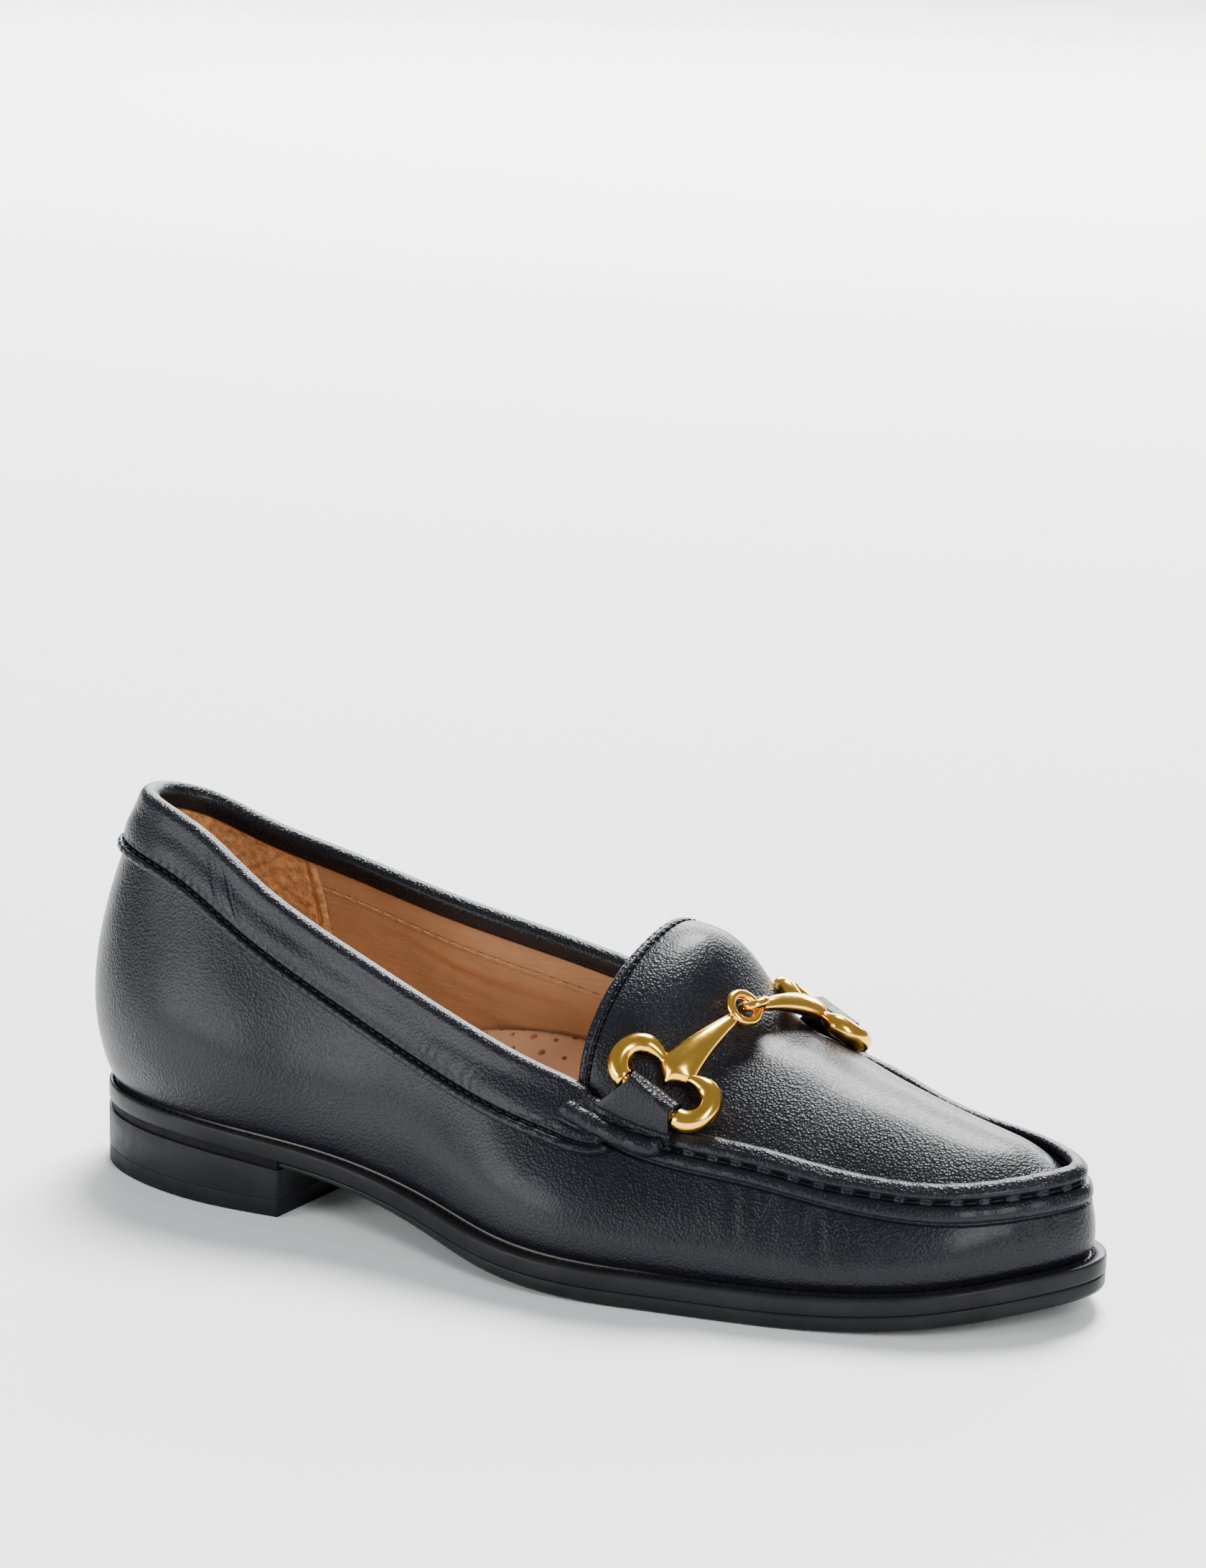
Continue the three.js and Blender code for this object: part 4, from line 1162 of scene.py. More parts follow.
class LOAFER_OT_lining(bpy.types.Operator):
    """Tan lining with its stitched top strip and the suede heel grip"""

    bl_idname = "loafer.lining"
    bl_label = "Lining and heel grip"

    def execute(self, context):
        last, stitch, colours = context_of(context)
        s = last.s
        strip, sewn = STRIP_DEPTH, STRIP_DEPTH - STRIP_SEAM
        count = 560
        t = np.arange(count) / count
        wall = last.wall_length(t)
        foot = wall - 0.5
        line = last.on_wall(t, 12.0)
        run = run_of(np.concatenate([line, line[:1]]))[:-1][:, None]
        near = np.concatenate([np.linspace(2.2, sewn - 1, 10), np.linspace(sewn - 0.8, strip + 1.5, 16)])
        below = np.concatenate(
            [np.tile(near, (count, 1)), mix(near[-1], foot[:, None], np.linspace(0, 1, 44)[None, 1:])], 1
        )
        step = 0.26 * smooth((below - strip - 0.1) / 0.35)
        groove = 0.2 * bell((below - sewn) / 0.6)
        loose = smooth((below - strip) / 6) * smooth((foot[:, None] - below) / 8)
        bend = 1.6 * np.sin(run / 23) + 0.8 * np.sin(run / 7)
        fold = 0.2 * np.sin(below / 1.5 + bend) + 0.14 * np.sin(below / 0.83 + 1.7 * bend + run / 31)
        fold = fold * loose * (0.5 + 0.5 * np.sin(run / 15 + below / 9))
        grid = last.on_wall(t[:, None], below, -s.wall + 0.1 + step + groove + fold)
        piece("lining_leather", grid, quads(*grid.shape[:2], True)[:, ::-1], tan_lining(), "sock")
        self.grip(last)
        front = float(last.position_at(THROAT_AT * s.sole_length + 12))
        back = float(last.position_at(GRIP_FRONT + 2))
        parts = []
        for a, b in ((back, front), (1 - front, 1 - back)):
            run = np.linspace(a, b, 300)
            places = spaced(run, last.on_wall(run, sewn), stitch.lining_pitch)
            centres = last.on_wall(places, sewn, -s.wall + 0.24)
            along = tangent(lambda v: last.on_wall(v, sewn), places)
            away = -last.normal(places, np.full(len(places), sewn))
            parts.append(threads(centres, along, away, stitch.lining_pitch * 0.6, 0.24, 0.3, 0.0))
        tan_thread = kept(waxed_thread, "Lining thread", colours.lining_thread, 0.6)
        piece("lining_thread", *joined(parts), tan_thread, "sock")
        return {"FINISHED"}

    def grip(self, last):
        """Suede piece round the inside of the heel, with its turned front seams."""
        s = last.s
        spans = (-1, -0.9, 30), (-0.89, 0.89, 180), (0.9, 1, 30)
        share = np.concatenate([np.linspace(*span) for span in spans])
        depth = np.linspace(0, 1, 64)
        front = GRIP_FRONT + 0.8 * np.sin(depth * 7)
        reach = last.position_at(front)
        reach_medial = 1 - last.position_at(front, True)
        t = np.where(share[:, None] < 0, share[:, None] * reach_medial[None], share[:, None] * reach[None])
        wall = last.wall_length(t % 1.0)
        below = mix(2.2, wall - 1, depth[None])
        edge = np.abs(share)[:, None]
        round_off = 1 - dome(np.clip((edge - 0.988) / 0.012, 0, 1))
        rough = np.random.default_rng(5).normal(0, 0.05, below.shape)
        lump = 0.06 * np.sin(t * 700 + 3 * depth[None] * 9) + 0.06 * np.sin(below * 1.3 + t * 260) + rough
        ridge = 0.3 * bell((edge - 0.975) / 0.02) - 0.2 * bell((edge - 0.94) / 0.012)
        lift = -s.wall - 0.42 + 0.5 * round_off - ridge + lump
        grid = last.on_wall(t, below, lift)
        piece("heel_grip_suede", grid, quads(*grid.shape[:2])[:, ::-1], kept(suede, "Tan suede"), "sock")


class LOAFER_OT_sock(bpy.types.Operator):
    """Tan sock with its pattern of punched holes"""

    bl_idname = "loafer.sock"
    bl_label = "Sock"

    def execute(self, context):
        last, _, colours = context_of(context)
        s = last.s
        t = np.linspace(0, 0.5, 150)
        inset = -last.welt_at(t) - s.wall - 0.8
        inset_medial = -last.welt_at(1 - t) - s.wall - 0.8
        under = shifted(last.bed_top, s.gap)
        top = shifted(under, s.insole_thickness)
        lateral, medial = last.edge_point(t, inset, top), last.edge_point(1 - t, inset_medial, top)
        share = (1 - np.cos(np.linspace(0, np.pi, 91))) / 2
        grid = lateral[:, None] + (medial - lateral)[:, None] * share[None, :, None]
        width = np.linalg.norm(medial - lateral, axis=1)[:, None]
        side = np.minimum(share, 1 - share)[None] * width
        grid[..., 2] = top(grid[..., 0]) - 1.0 * (1 - dome(np.clip(1 - side / 1.6, 0, 1)))
        grid[..., 2] += 0.35 * smooth(1 - side / 12) * smooth(side / 1.6) - 0.25 * smooth(side / 20)
        back = grid.copy()
        back[..., 2] = under(grid[..., 0])
        pad = rows_of(PAD_COLUMNS, PAD)
        pad_edge = Spline([p.x for p in pad], [p.below for p in pad])
        x = last.edge.x(1 - t)
        below = np.clip(pad_edge(np.clip(x, pad[0].x, pad[-1].x)), 0, last.wall_length(1 - t) - 2)
        raised = last.on_wall(1 - t, below, -s.wall - 0.25)
        rise = smooth((x - 48) / 30) * (1 - smooth((x - 140) / 28))
        climb = np.clip((share - 0.42) / 0.58, 0, 1)
        climb = (climb**2 * (1.6 - 0.6 * climb))[None] * rise[:, None]
        shift = (raised - medial)[:, None] * climb[..., None]
        shift[..., 0] = 0
        grid, back = grid + shift, back + shift
        rows, columns = grid.shape[:2]
        points = np.concatenate([grid.reshape(-1, 3), back.reshape(-1, 3)])
        low = rows * columns
        faces = quads(rows, columns).tolist() + quads(rows, columns, start=low)[:, ::-1].tolist()
        for j in range(columns - 1):
            a, b = j, (rows - 1) * columns + j
            faces.append((a + 1, a, a + low, a + 1 + low))
            faces.append((b, b + 1, b + 1 + low, b + low))
        for i in range(rows - 1):
            a, b = i * columns, i * columns + columns - 1
            faces.append((a, a + columns, a + columns + low, a + low))
            faces.append((b + columns, b, b + low, b + columns + low))
        # The sock's colour carries painted light as well as its own lighter tan.
        smooth_tan = kept(lining_leather, "Tan sock", colours.sock, False)
        obj = piece("sock_leather", points, faces, smooth_tan, "sock", ("insole",))
        punches = self.punches(last, grid)
        cut = obj.modifiers.new("Holes", "BOOLEAN")
        cut.object = punches
        cut.operation = "DIFFERENCE"
        cut.solver = "EXACT"
        with bpy.context.temp_override(object=obj, active_object=obj, selected_objects=[obj]):
            bpy.ops.object.modifier_apply(modifier=cut.name)
        bpy.data.objects.remove(punches)
        obj.data.polygons.foreach_set("use_smooth", [True] * len(obj.data.polygons))
        obj.data.set_sharp_from_angle(angle=math.radians(40))
        return {"FINISHED"}

    def punches(self, last, grid):
        """Round punches in staggered rows over the pad, the waist and the forepart."""
        parts = []
        sides = PUNCH_SIDES
        angle = turns(sides)
        for i, x in enumerate(np.arange(84, 190, 3.4)):
            for j, share in enumerate(np.arange(0.16, 0.9, 0.145) + (0.072 if i % 2 else 0)):
                row = int(np.abs(grid[:, grid.shape[1] // 2, 0] - x).argmin())
                column = int(share * (grid.shape[1] - 1))
                at = grid[row, column]
                across = unit(grid[row, column + 1] - grid[row, column - 1])
                along = unit(grid[row + 1, column] - grid[row - 1, column])
                away = unit(np.cross(along, across))
                away = away if away[2] > 0 else -away
                radius = 0.95 if (i + j) % 3 == 0 else 0.65
                a, b = radius * np.cos(angle)[:, None], radius * np.sin(angle)[:, None]
                ring = at + along * a + across * b
                low, high = ring - away * 1.5, ring + away * 1.5
                faces = [tuple(range(sides))[::-1], tuple(range(sides, 2 * sides))]
                faces += [(k, (k + 1) % sides, sides + (k + 1) % sides, sides + k) for k in range(sides)]
                parts.append((np.concatenate([low, high]), faces))
        points, faces = joined(parts)
        half_heel = last.s.heel_length / 2
        mesh = bpy.data.meshes.new("punches")
        mesh.from_pydata(((points - [half_heel, 0, 0]) * MM).tolist(), [], faces)
        obj = bpy.data.objects.new("punches", mesh)
        bpy.context.scene.collection.objects.link(obj)
        return obj


def slab(outline, outward, centre, section):
    """Points and faces of a layer of the sole. section lists (distance in from the edge, share of
    the way to the centre, height as a function of x), top middle to bottom middle."""
    columns = []
    for inset, share, height in section:
        p = outline - outward * inset
        p = p + (centre - p) * share
        p[:, 2] = height(p[:, 0])
        columns.append(p)
    grid = np.stack(columns, 1)
    rows, count = grid.shape[:2]
    return grid.reshape(-1, 3), quads(rows, count, ring_rows=True)[:, ::-1]


def whole_outline(last, count=640):
    """The sole's edge with its outward directions and a spine point for each place."""
    t = np.arange(count) / count
    outline = last.edge_point(t, 0.0 * t, lambda x: 0 * x)
    mirror = last.edge_point(1 - t, 0.0 * t, lambda x: 0 * x)
    middle = (outline + mirror) / 2
    spine = middle.copy()
    spine[:, 0] = np.clip(middle[:, 0], 30, last.s.sole_length - 32)
    at = np.argsort(middle[: count // 2 + 1, 0])
    spine[:, 1] = np.interp(spine[:, 0], middle[at, 0], middle[at, 1])
    return t, outline, last.outward(t), spine


def cut_outline(last, x_from, forward):
    """Closed outline of the part of the sole in front of or behind a straight line across."""
    a = float(last.position_at(x_from))
    b = float(last.position_at(x_from, True))
    t = np.linspace(a, b, 460) if forward else np.linspace(b - 1, a, 200)
    edge = last.edge_point(t, 0.0 * t, lambda x: 0 * x)
    out = last.outward(t)
    start, stop = edge[-1], edge[0]
    share = np.linspace(0, 1, 42)[1:-1, None]
    line = start + (stop - start) * share
    flat = np.zeros_like(line)
    flat[:, 0] = -1 if forward else 1
    corner = unit(out[-1:] + flat[:1]), unit(out[:1] + flat[:1])
    out = np.concatenate([corner[1] * 1.2, out[1:-1], corner[0] * 1.2, flat])
    outline = np.concatenate([edge, line])
    return outline, out


class LOAFER_OT_sole(bpy.types.Operator):
    """Midsole with its welt and stitches, and the thin outsole"""

    bl_idname = "loafer.sole"
    bl_label = "Sole and welt"

    def execute(self, context):
        last, stitch, colours = context_of(context)
        s = last.s
        ink = kept(edge_paint, "Sole edge", colours.sole)
        t, outline, out, spine = whole_outline(last)
        top, under = last.bed_top, last.bed_under
        welt = last.welt_at(t)[:, None]
        thick = s.midsole_thickness
        section = [
            (welt, 1.0, top),
            (welt, 0.6, top),
            (welt, 0.2, top),
            (welt * 1.15, 0, top),
            (welt * 1.05, 0, shifted(top, -0.1)),
            (welt * 0.97, 0, shifted(top, -0.6)),
            (welt * 0.88, 0, shifted(top, -0.65)),
            (welt * 0.78, 0, shifted(top, -0.3)),
            (welt * 0.62, 0, top),
            (welt * 0.3, 0, shifted(top, 0.02)),
            (welt * 0.14 + 0.1, 0, shifted(top, -0.08)),
            (welt * 0.03 + 0.03, 0, shifted(top, -0.35)),
            (0.0, 0, shifted(top, -0.85)),
            (-0.04, 0, shifted(top, -thick * 0.4)),
            (0.0, 0, shifted(top, -thick * 0.62)),
            (0.0, 0, shifted(under, 0.45)),
            (0.1, 0, shifted(under, 0.16)),
            (0.45, 0, under),
            (2.0, 0, under),
            (6.0, 0.2, under),
            (6.0, 0.6, under),
            (6.0, 1.0, under),
        ]
        piece("midsole_welt", *slab(outline, out, spine, section), ink, "sole", ("midsole",))
        self.outsole(last, ink)
        run = np.linspace(0, 1, 2000)
        places = spaced(run, last.edge_point(run, -2.0, top), stitch.welt_pitch)
        line = lambda v: last.edge_point(v, -last.welt_at(places) * 0.93, top)
        away = np.array([0, 0, 1.0]) + 0.5 * last.outward(places)
        centres = line(places) - [0, 0, 0.45]
        stitches = threads(centres, tangent(line, places), away, stitch.welt_pitch * 0.7, 0.3, 0.4, rings=6)
        piece("welt_thread", *stitches, black_thread(), "sole")
        return {"FINISHED"}

    def outsole(self, last, ink):
        """Forepart and waist, with a channel line under its edge."""
        s = last.s
        outline, out = cut_outline(last, s.heel_length + s.gap, True)
        centre = outline.copy()
        centre[:, 0] = np.clip(outline[:, 0], s.heel_length + 16, s.sole_length - 30)
        centre[:, 1] = np.interp(centre[:, 0], [60, 110, 150, 200, 253], [0, -6, -2, 2, 1])
        top = shifted(last.bed_under, -0.06)
        under = last.outsole_under
        depth = lambda x: top(x) - under(x)
        section = [
            (3.0, 1.0, top),
            (3.0, 0.5, top),
            (1.5, 0, top),
            (0.5, 0, top),
            (0.26, 0, shifted(top, -0.06)),
            (0.16, 0, lambda x: top(x) - 0.12 * depth(x)),
            (0.16, 0, lambda x: top(x) - 0.7 * depth(x)),
            (0.26, 0, lambda x: under(x) + 0.18 * depth(x)),
            (0.55, 0, lambda x: under(x) + 0.05 * depth(x)),
            (1.1, 0, under),
            (4.6, 0, under),
            (4.8, 0, shifted(under, 0.25)),
            (5.1, 0, shifted(under, 0.25)),
            (5.3, 0, under),
            (6.5, 0.25, under),
            (6.5, 0.5, under),
            (6.5, 0.75, under),
            (6.5, 1.0, under),
        ]
        piece("outsole_leather", *slab(outline, out, centre, section), ink, "sole", ("outsole",))


class LOAFER_OT_heel(bpy.types.Operator):
    """Block heel: recessed rand, its colour darkened as painted shade of the recess, stacked block and
    rubber top lift
    """

    bl_idname = "loafer.heel"
    bl_label = "Heel"

    def execute(self, context):
        last, _, colours = context_of(context)
        s = last.s
        outline, out = cut_outline(last, s.heel_length, False)
        centre = np.zeros_like(outline)
        centre[:, 0] = np.clip(outline[:, 0], 24, s.heel_length - 18)
        ground = lambda x: 0 * x
        rand_under = shifted(last.bed_under, -s.rand_thickness)
        lift_top = shifted(ground, s.top_lift_thickness)
        # The rand's colour is the rubber's at 0.6: painted shade of its recess, with its own matt finish.
        matt_shaded_rand = kept(edge_paint, "Rand edge", shade(colours.rubber, 0.6), 0.7, False)
        ink = kept(edge_paint, "Heel edge", colours.sole, 0.45)
        rubber = kept(edge_paint, "Top lift rubber", colours.rubber, 0.55, False)
        rand_top, block_top = shifted(last.bed_under, -0.05), shifted(rand_under, -0.05)
        layers = (
            ("heel_rand_edge", "heel_rand", matt_shaded_rand, "rand", s.rand_inset * 0.7, rand_top, rand_under, 0.1),
            ("heel_block_stack", "heel_block", ink, "heel", 0.0, block_top, shifted(lift_top, 0.02), 0.14),
            ("top_lift_rubber", "top_lift", rubber, "top_lift", 0.06, lift_top, ground, 0.14),
        )
        for name, node, finish, slot_name, inset, top, under, rounding in layers:
            section = self.section(inset, top, under, rounding)
            piece(name, *slab(outline, out, centre, section), finish, slot_name, (node,))
        return {"FINISHED"}

    def section(self, inset, top, under, r):
        """Section of one layer of the heel, with its edges rounded by r."""
        return [
            (inset + 1, 1.0, top),
            (inset + 1, 0.5, top),
            (inset + r + 0.5, 0, top),
            (inset + r, 0, top),
            (inset + 0.25 * r, 0, shifted(top, -0.3 * r)),
            (inset, 0, shifted(top, -r)),
            (inset, 0, lambda x: (top(x) + under(x)) / 2),
            (inset, 0, shifted(under, r)),
            (inset + 0.25 * r, 0, shifted(under, 0.3 * r)),
            (inset + r, 0, under),
            (inset + r + 0.5, 0, under),
            (inset + 1, 0.5, under),
            (inset + 1, 1.0, under),
        ]


# Snaffle and tabs


class Snaffle:
    """Where both halves of the snaffle are held, in millimetres."""

    def __init__(self, last):
        s = self.s = last.s
        self.last = last
        self.holds = {name: self.hold(place) for name, place in TAB_PLACES.items()}
        lateral, medial = self.holds["lateral"], self.holds["medial"]
        pair = (lateral.pair + medial.pair) / 2
        away = last.apron_normal(pair, 0.5)
        rings_at = last.apron_point(pair, 0.5) + away * s.ring_height
        self.across = unit(medial.pin - lateral.pin)
        self.rings_along = unit(np.cross(self.across, away))
        self.rings_away = np.cross(self.rings_along, self.across)
        for hold in self.holds.values():
            side = -1 if hold.medial else 1
            hold.ring = s.upright_ring if hold.medial else s.flat_ring
            hold.end = rings_at - self.across * side * s.ring_link / 2
            hold.reach = np.linalg.norm(hold.end - hold.pin)
            hold.up = unit(hold.end - hold.pin)
            along = unit(np.cross(hold.up, hold.away)) * side
            angle = side * math.radians(hold.yaw)
            hold.along = along * math.cos(angle) + np.cross(hold.up, along) * math.sin(angle)
            hold.away = unit(np.cross(hold.along, hold.up)) * side

    def hold(self, place):
        last = self.last
        t = float(last.position_at(place.at * self.s.sole_length, place.medial))
        pair, share = (1 - t, 1 - place.up) if place.medial else (t, place.up)
        away = last.apron_normal(pair, share)
        pin = last.apron_point(pair, share) + away * place.lift * self.s.tab_thickness
        x = place.at * self.s.sole_length
        return types.SimpleNamespace(x=x, medial=place.medial, yaw=place.yaw, pair=pair, pin=pin, away=away)

    def at(self, hold, along, up, away):
        """Points by distances along the pin, up to the ring, and off the apron."""
        along, up, away = (np.asarray(v, float)[..., None] for v in (along, up, away))
        return hold.pin + hold.along * along + hold.up * up + hold.away * away

    def bow(self, hold, up):
        """How far the bar rises over the instep, at a distance up to the ring."""
        share = np.clip(np.asarray(up) / (hold.reach - hold.ring), 0, 1)
        return self.s.bar_bow * 4 * share * (1 - share)


class LOAFER_OT_bit(bpy.types.Operator):
    """Gold-tone snaffle: two halves with loops, beaked bars and linked rings"""

    bl_idname = "loafer.bit"
    bl_label = "Snaffle"

    def execute(self, context):
        snaffle = Snaffle(context_of(context)[0])
        gold = kept(plated_gold, "Gold plate")
        for name, hold in snaffle.holds.items():
            parts = self.loops(snaffle, hold) + [self.bar(snaffle, hold), self.ring(snaffle, hold)]
            obj = piece(f"bit_{name}_gold", *joined(parts), gold, "bit", (f"bit_{name}",))
            obj.data.set_sharp_from_angle(angle=math.radians(48))
        return {"FINISHED"}

    def loops(self, snaffle, hold):
        """Two C-shaped loops with softly flattened cut ends, and the pin between them."""
        s = snaffle.s
        angle = np.pi * np.linspace(-0.5, LOOP_TURN - 0.5, 44)
        parts = []
        for side in (1, -1):
            over = (angle > np.pi / 2) * 1.0
            a = side * (s.loop_apart / 2 + s.loop_radius * np.cos(angle) * (1 + 0.25 * over))
            b = s.loop_radius * (1 + mix(np.sin(angle), 1, 0.5 * over))
            path = snaffle.at(hold, a, b, snaffle.bow(hold, b))
            turn = np.linspace(0, 1, len(angle))
            radius = 1.16 * s.rod_radius * (1 - 0.55 * smooth((turn - 0.72) / 0.28))
            radius[:3] *= (0.8, 0.93, 0.985)
            path[1] = mix(path[0], path[1], 0.12)
            path[2] = mix(path[0], path[2], 0.25)
            parts.append(tube(path, radius, 28, hold.away))
        pin = np.linspace(-s.loop_apart / 2, s.loop_apart / 2, 8)
        path = snaffle.at(hold, pin, 0 * pin, 0 * pin)
        parts.append(tube(path, s.pin_radius, 12, hold.away))
        return parts

    def bar(self, snaffle, hold):
        """Bar from its beak to the ring: a shield-like face that narrows, with bevelled flanks."""
        sides = 28
        rows = rows_of(BAR_COLUMNS, BAR)
        at = np.linspace(rows[0].at, rows[-1].at, 60)

        def softened(values):
            values = np.interp(at, [r.at for r in rows], values) * snaffle.s.rod_radius
            return np.convolve(np.pad(values, 2, mode="edge"), np.ones(5) / 5, "valid")

        wide, thick = softened([r.wide for r in rows]), softened([r.thick for r in rows])
        angle = turns(sides)
        power = mix(1.3, 1.0, smooth((at - 0.3) / 0.3))[:, None]
        c, n = np.cos(angle)[None], np.sin(angle)[None]
        w = wide[:, None] * np.sign(c) * np.abs(c) ** power
        h = thick[:, None] * np.sign(n) * np.abs(n) ** power
        up = (at * (hold.reach - hold.ring))[:, None] + 0 * w
        points = snaffle.at(hold, w, up, h + snaffle.bow(hold, up))
        faces = quads(len(at), sides, False, True).tolist()
        if hold.medial:
            faces = [f[::-1] for f in faces]
        faces.append(tuple(range(sides)))
        faces.append(tuple((len(at) - 1) * sides + j for j in range(sides))[::-1])
        return points.reshape(-1, 3), faces

    def ring(self, snaffle, hold):
        """The lateral ring lies flat and the medial one stands up through it."""
        tilt = math.radians(68) if hold.medial else 0.0
        angle = turns(48)[:, None]
        up = snaffle.rings_along * math.cos(tilt) + snaffle.rings_away * math.sin(tilt)
        path = hold.end + snaffle.across * hold.ring * np.cos(angle) + up * (hold.ring * np.sin(angle))
        return tube(path, snaffle.s.ring_rod, 14, np.cross(snaffle.across, up), closed=True)


class LOAFER_OT_tabs(bpy.types.Operator):
    """Leather tabs folded round the snaffle's pins, with their stitches and rolled lower piece"""

    bl_idname = "loafer.tabs"
    bl_label = "Tabs"

    def execute(self, context):
        snaffle = Snaffle(context_of(context)[0])
        for name, hold in snaffle.holds.items():
            self.tab(snaffle, hold, name)
            self.roll(snaffle, hold, name)
        return {"FINISHED"}

    def sewn_edge(self, last, hold, across, share):
        """x of the tail's points: it flares from the fold's width to the sewn edge."""
        s = last.s
        sewn = np.where(across < 0, s.tab_back, s.tab_front)
        return hold.x + across * mix(s.tab_width / 2, sewn, share**TAB_FLARE)

    def stitches_at(self, last, hold):
        """x of the hand stitches."""
        return np.linspace(hold.x - last.s.tab_back + 3.2, hold.x + last.s.tab_front - 3.5, 4)

    def drape(self, last, x):
        """How far the tail lies out of the wall: over the band's end and over the toe seam."""
        s = last.s
        band = last.band_front + BAND_LEAD
        over = 1 - smooth((x - band + 2) / 3.5)
        seam = 1.2 * smooth((x - band + 3) / 8)
        return s.gap + (s.gap + s.band_thickness) * over + seam

    def tab(self, snaffle, hold, name):
        """The tail on the wall and the fold round the pin, as one smooth strip."""
        last, s = snaffle.last, snaffle.s
        across = np.linspace(-1, 1, 61)
        share = np.array([1, 0.8, 0.6, 0.4, 0.2, 0.02])
        x = self.sewn_edge(last, hold, across[:, None], share[None])
        below = np.broadcast_to(share * TAB_SEWN, x.shape)
        place = last.position_at(x, hold.medial)
        at = self.stitches_at(last, hold)
        dent = np.exp(-np.square((x[..., None] - at) / 1.5)).sum(-1)
        pressed = 0.45 * dent * bell((below - TAB_SEWN + 0.5) / 1.3)
        tail = last.on_wall(place, below, self.drape(last, x) - pressed)
        angle = np.radians(np.linspace(-35, 190, 9))
        radius = s.pin_radius + s.gap
        pin = hold.pin + hold.along * (across * s.tab_width / 2)[:, None]
        fold = (
            pin[:, None]
            + hold.away * (radius * np.cos(angle))[None, :, None]
            + hold.up * (radius * np.sin(angle))[None, :, None]
        )
        path = np.concatenate([tail, fold], 1)
        run = np.linspace(0, path.shape[1] - 1, 56)
        knots = np.arange(path.shape[1])
        grid = np.stack([np.stack([Spline(knots, row[:, k])(run) for k in range(3)], -1) for row in path])
        if hold.medial:
            grid = grid[::-1]
        node = f"bit_tab_{name}"
        obj = sheet(
            f"{node}_leather", grid, black_calf(), "upper_leather", s.tab_thickness, (node,), outward=True
        )
        soften = obj.modifiers.new("Soft edge", "BEVEL")
        soften.width = 0.0003
        soften.segments = 2
        soften.limit_method = "ANGLE"
        soften.angle_limit = math.radians(50)

    def roll(self, snaffle, hold, name):
        """Rolled leather along the tab's sewn edge, and the hand stitches above it."""
        last, s = snaffle.last, snaffle.s
        share = np.linspace(0, 1, 90)
        x = mix(hold.x - s.tab_back - 1.2, hold.x + s.tab_front - 1.5, share)
        below = ROLL_BELOW - 1.0 * smooth((0.06 - share) / 0.06) + 0.5 * np.sin(np.pi * share)
        below = below - 1.3 * smooth((share - 0.88) / 0.12)
        place = last.position_at(x, hold.medial)
        at = self.stitches_at(last, hold)
        dent = np.exp(-np.square((x[:, None] - at[None]) / 1.6)).sum(1)
        lift = self.drape(last, x) + 1.0 - 0.15 * dent
        path = last.on_wall(place, below, lift)
        top = last.normal(place, below)
        ends = np.clip(np.minimum(share, 1 - share) / 0.05, 0, 1)
        radius = (2.4 - 0.3 * dent) * np.maximum(dome(1 - ends), 0.12)
        points, faces = tube(path, radius, 24, top)
        if hold.medial:
            faces = [f[::-1] for f in faces]
        piece(f"tab_roll_{name}", points, faces, black_calf(), "upper_leather")
        place = last.position_at(at, hold.medial)
        lift = self.drape(last, at) + s.tab_thickness - 0.4
        stitches = wall_stitches(last, place, TAB_SEWN - 0.6, lift, 3.6, 0.52, 0.55, 0.15)
        piece(f"tab_thread_{name}", *stitches, black_thread(), "upper_leather")


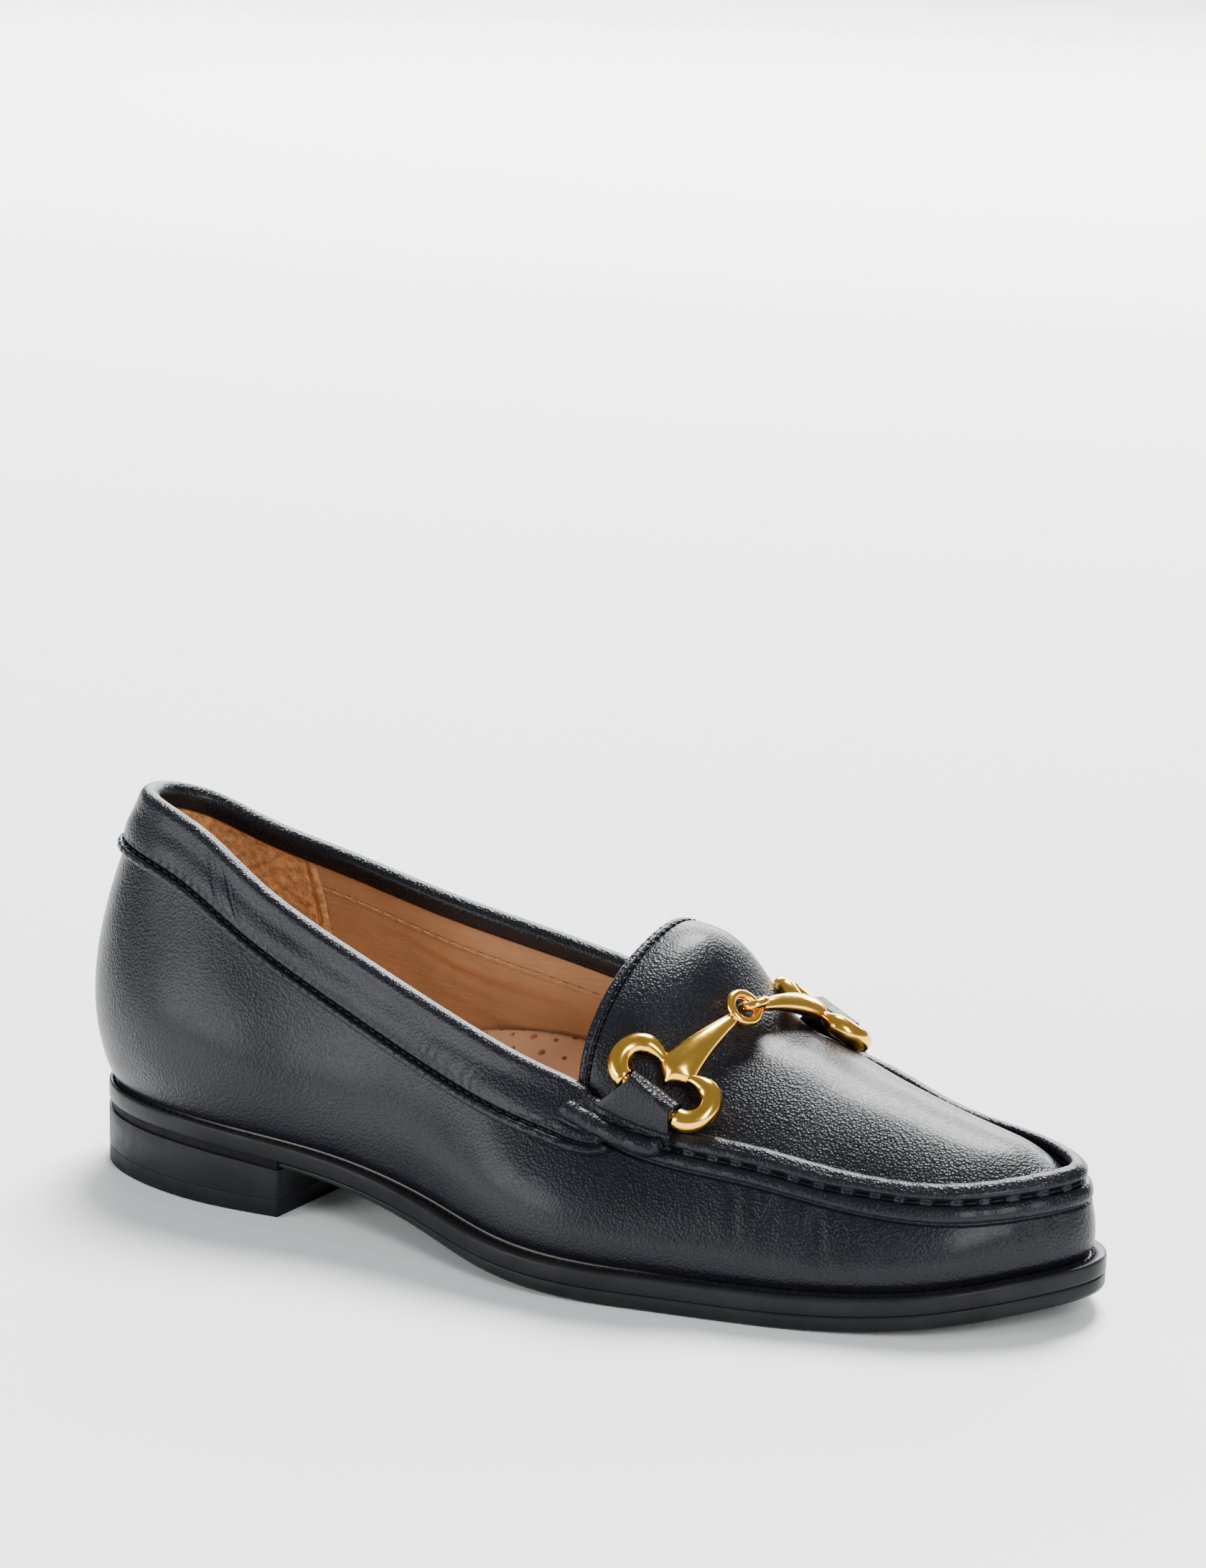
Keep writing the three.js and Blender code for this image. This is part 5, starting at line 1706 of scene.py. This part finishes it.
class LOAFER_OT_stage(bpy.types.Operator):
    """Pale floor, soft studio light and the camera"""

    bl_idname = "loafer.stage"
    bl_label = "Stage"

    def execute(self, context):
        self.floor()
        self.lights()
        self.camera(context)
        return {"FINISHED"}

    def floor(self):
        mesh = bpy.data.meshes.new("floor")
        half = 6.0
        corners = [(-half, -half, 0), (half, -half, 0), (half, half, 0), (-half, half, 0)]
        mesh.from_pydata(corners, [], [(0, 1, 2, 3)])
        mesh.materials.append(kept(pale_floor, "Pale floor"))
        obj = bpy.data.objects.new("floor", mesh)
        obj.location.z = -0.0001
        bpy.context.scene.collection.objects.link(obj)

    def lights(self):
        world = bpy.context.scene.world or bpy.data.worlds.new("Studio")
        bpy.context.scene.world = world
        world.use_nodes = True
        back = world.node_tree.nodes["Background"]
        back.inputs["Color"].default_value = (0.88, 0.93, 1.0, 1)
        back.inputs["Strength"].default_value = 0.32
        sky = bpy.data.lights.new("overhead", "SUN")
        sky.energy = 10.0
        sky.angle = math.radians(22)
        overhead = bpy.data.objects.new("overhead", sky)
        overhead.rotation_euler = Vector((-0.2, 0.68, 1.0)).to_track_quat("Z", "Y").to_euler()
        bpy.context.scene.collection.objects.link(overhead)
        lamps = (
            ("left_box", (-0.95, -1.5, 0.5), (0.05, 0, 0.03), 1.3, 0.6, 28),
            ("right_box", (1.0, -0.6, 0.55), (0.12, 0, 0.03), 0.3, 0.6, 10),
            ("back_box", (-0.5, 1.5, 0.55), (0.05, 0, 0.05), 1.6, 0.4, 45),
        )
        for name, place, aim, wide, tall, power in lamps:
            light = bpy.data.lights.new(name, "AREA")
            light.shape = "RECTANGLE"
            light.size = wide
            light.size_y = tall
            light.energy = power
            obj = bpy.data.objects.new(name, light)
            obj.location = place
            obj.rotation_euler = (Vector(aim) - Vector(place)).to_track_quat("-Z", "Y").to_euler()
            bpy.context.scene.collection.objects.link(obj)

    def camera(self, context):
        """The photograph's view: azimuth and elevation of the line to the shoe, then the aim that
        puts the shoe where it stands in the frame."""
        azimuth, elevation, roll = math.radians(32.6), math.radians(17.1), math.radians(0.36)
        flat = math.cos(elevation)
        back = Vector((math.sin(azimuth) * flat, -math.cos(azimuth) * flat, math.sin(elevation)))
        level = Vector((math.cos(azimuth), math.sin(azimuth), 0))
        upright = level.cross(-back)
        right = level * math.cos(roll) + upright * math.sin(roll)
        up = upright * math.cos(roll) - level * math.sin(roll)
        distance, focal = 1.8, 5.066
        data = bpy.data.cameras.new("photo_view")
        data.sensor_width = 36
        data.lens = focal * 36
        obj = bpy.data.objects.new("photo_view", data)
        obj.location = Vector((0.068, 0, 0.035)) + back * distance
        z = (back * focal - right * 0.0692 - up * 0.1749).normalized()
        x = (right - z * right.dot(z)).normalized()
        obj.rotation_euler = Matrix((x, z.cross(x), z)).transposed().to_euler()
        bpy.context.scene.collection.objects.link(obj)
        bpy.context.scene.camera = obj


class LOAFER_PT_panel(bpy.types.Panel):
    """Lists the loafer's pieces, sizes and colours"""

    bl_idname = "LOAFER_PT_panel"
    bl_label = "Block heel loafer"
    bl_space_type = "VIEW_3D"
    bl_region_type = "UI"
    bl_category = "Loafer"

    def draw(self, context):
        for operator in OPERATORS:
            self.layout.operator(operator.bl_idname)
        for title, group in (
            ("Sizes", context.scene.loafer_sizes),
            ("Stitching", context.scene.loafer_stitching),
            ("Colours", context.scene.loafer_colours),
        ):
            box = self.layout.box()
            box.label(text=title)
            for name in group.__annotations__:
                box.prop(group, name)


OPERATORS = (
    LOAFER_OT_upper,
    LOAFER_OT_collar_band,
    LOAFER_OT_apron,
    LOAFER_OT_back_seam,
    LOAFER_OT_lining,
    LOAFER_OT_sock,
    LOAFER_OT_sole,
    LOAFER_OT_heel,
    LOAFER_OT_bit,
    LOAFER_OT_tabs,
    LOAFER_OT_stage,
)
GROUPS = (LoaferSizes, LoaferStitching, LoaferColours)


def register():
    for cls in (*GROUPS, *OPERATORS, LOAFER_PT_panel):
        bpy.utils.register_class(cls)
    bpy.types.Scene.loafer_sizes = PointerProperty(type=LoaferSizes)
    bpy.types.Scene.loafer_stitching = PointerProperty(type=LoaferStitching)
    bpy.types.Scene.loafer_colours = PointerProperty(type=LoaferColours)


def unregister():
    del bpy.types.Scene.loafer_colours
    del bpy.types.Scene.loafer_stitching
    del bpy.types.Scene.loafer_sizes
    for cls in reversed((*GROUPS, *OPERATORS, LOAFER_PT_panel)):
        bpy.utils.unregister_class(cls)


def main():
    register()
    bpy.ops.loafer.upper()
    bpy.ops.loafer.collar_band()
    bpy.ops.loafer.apron()
    bpy.ops.loafer.back_seam()
    bpy.ops.loafer.lining()
    bpy.ops.loafer.sock()
    bpy.ops.loafer.sole()
    bpy.ops.loafer.heel()
    bpy.ops.loafer.bit()
    bpy.ops.loafer.tabs()
    bpy.ops.loafer.stage()


if __name__ == "__main__":
    main()
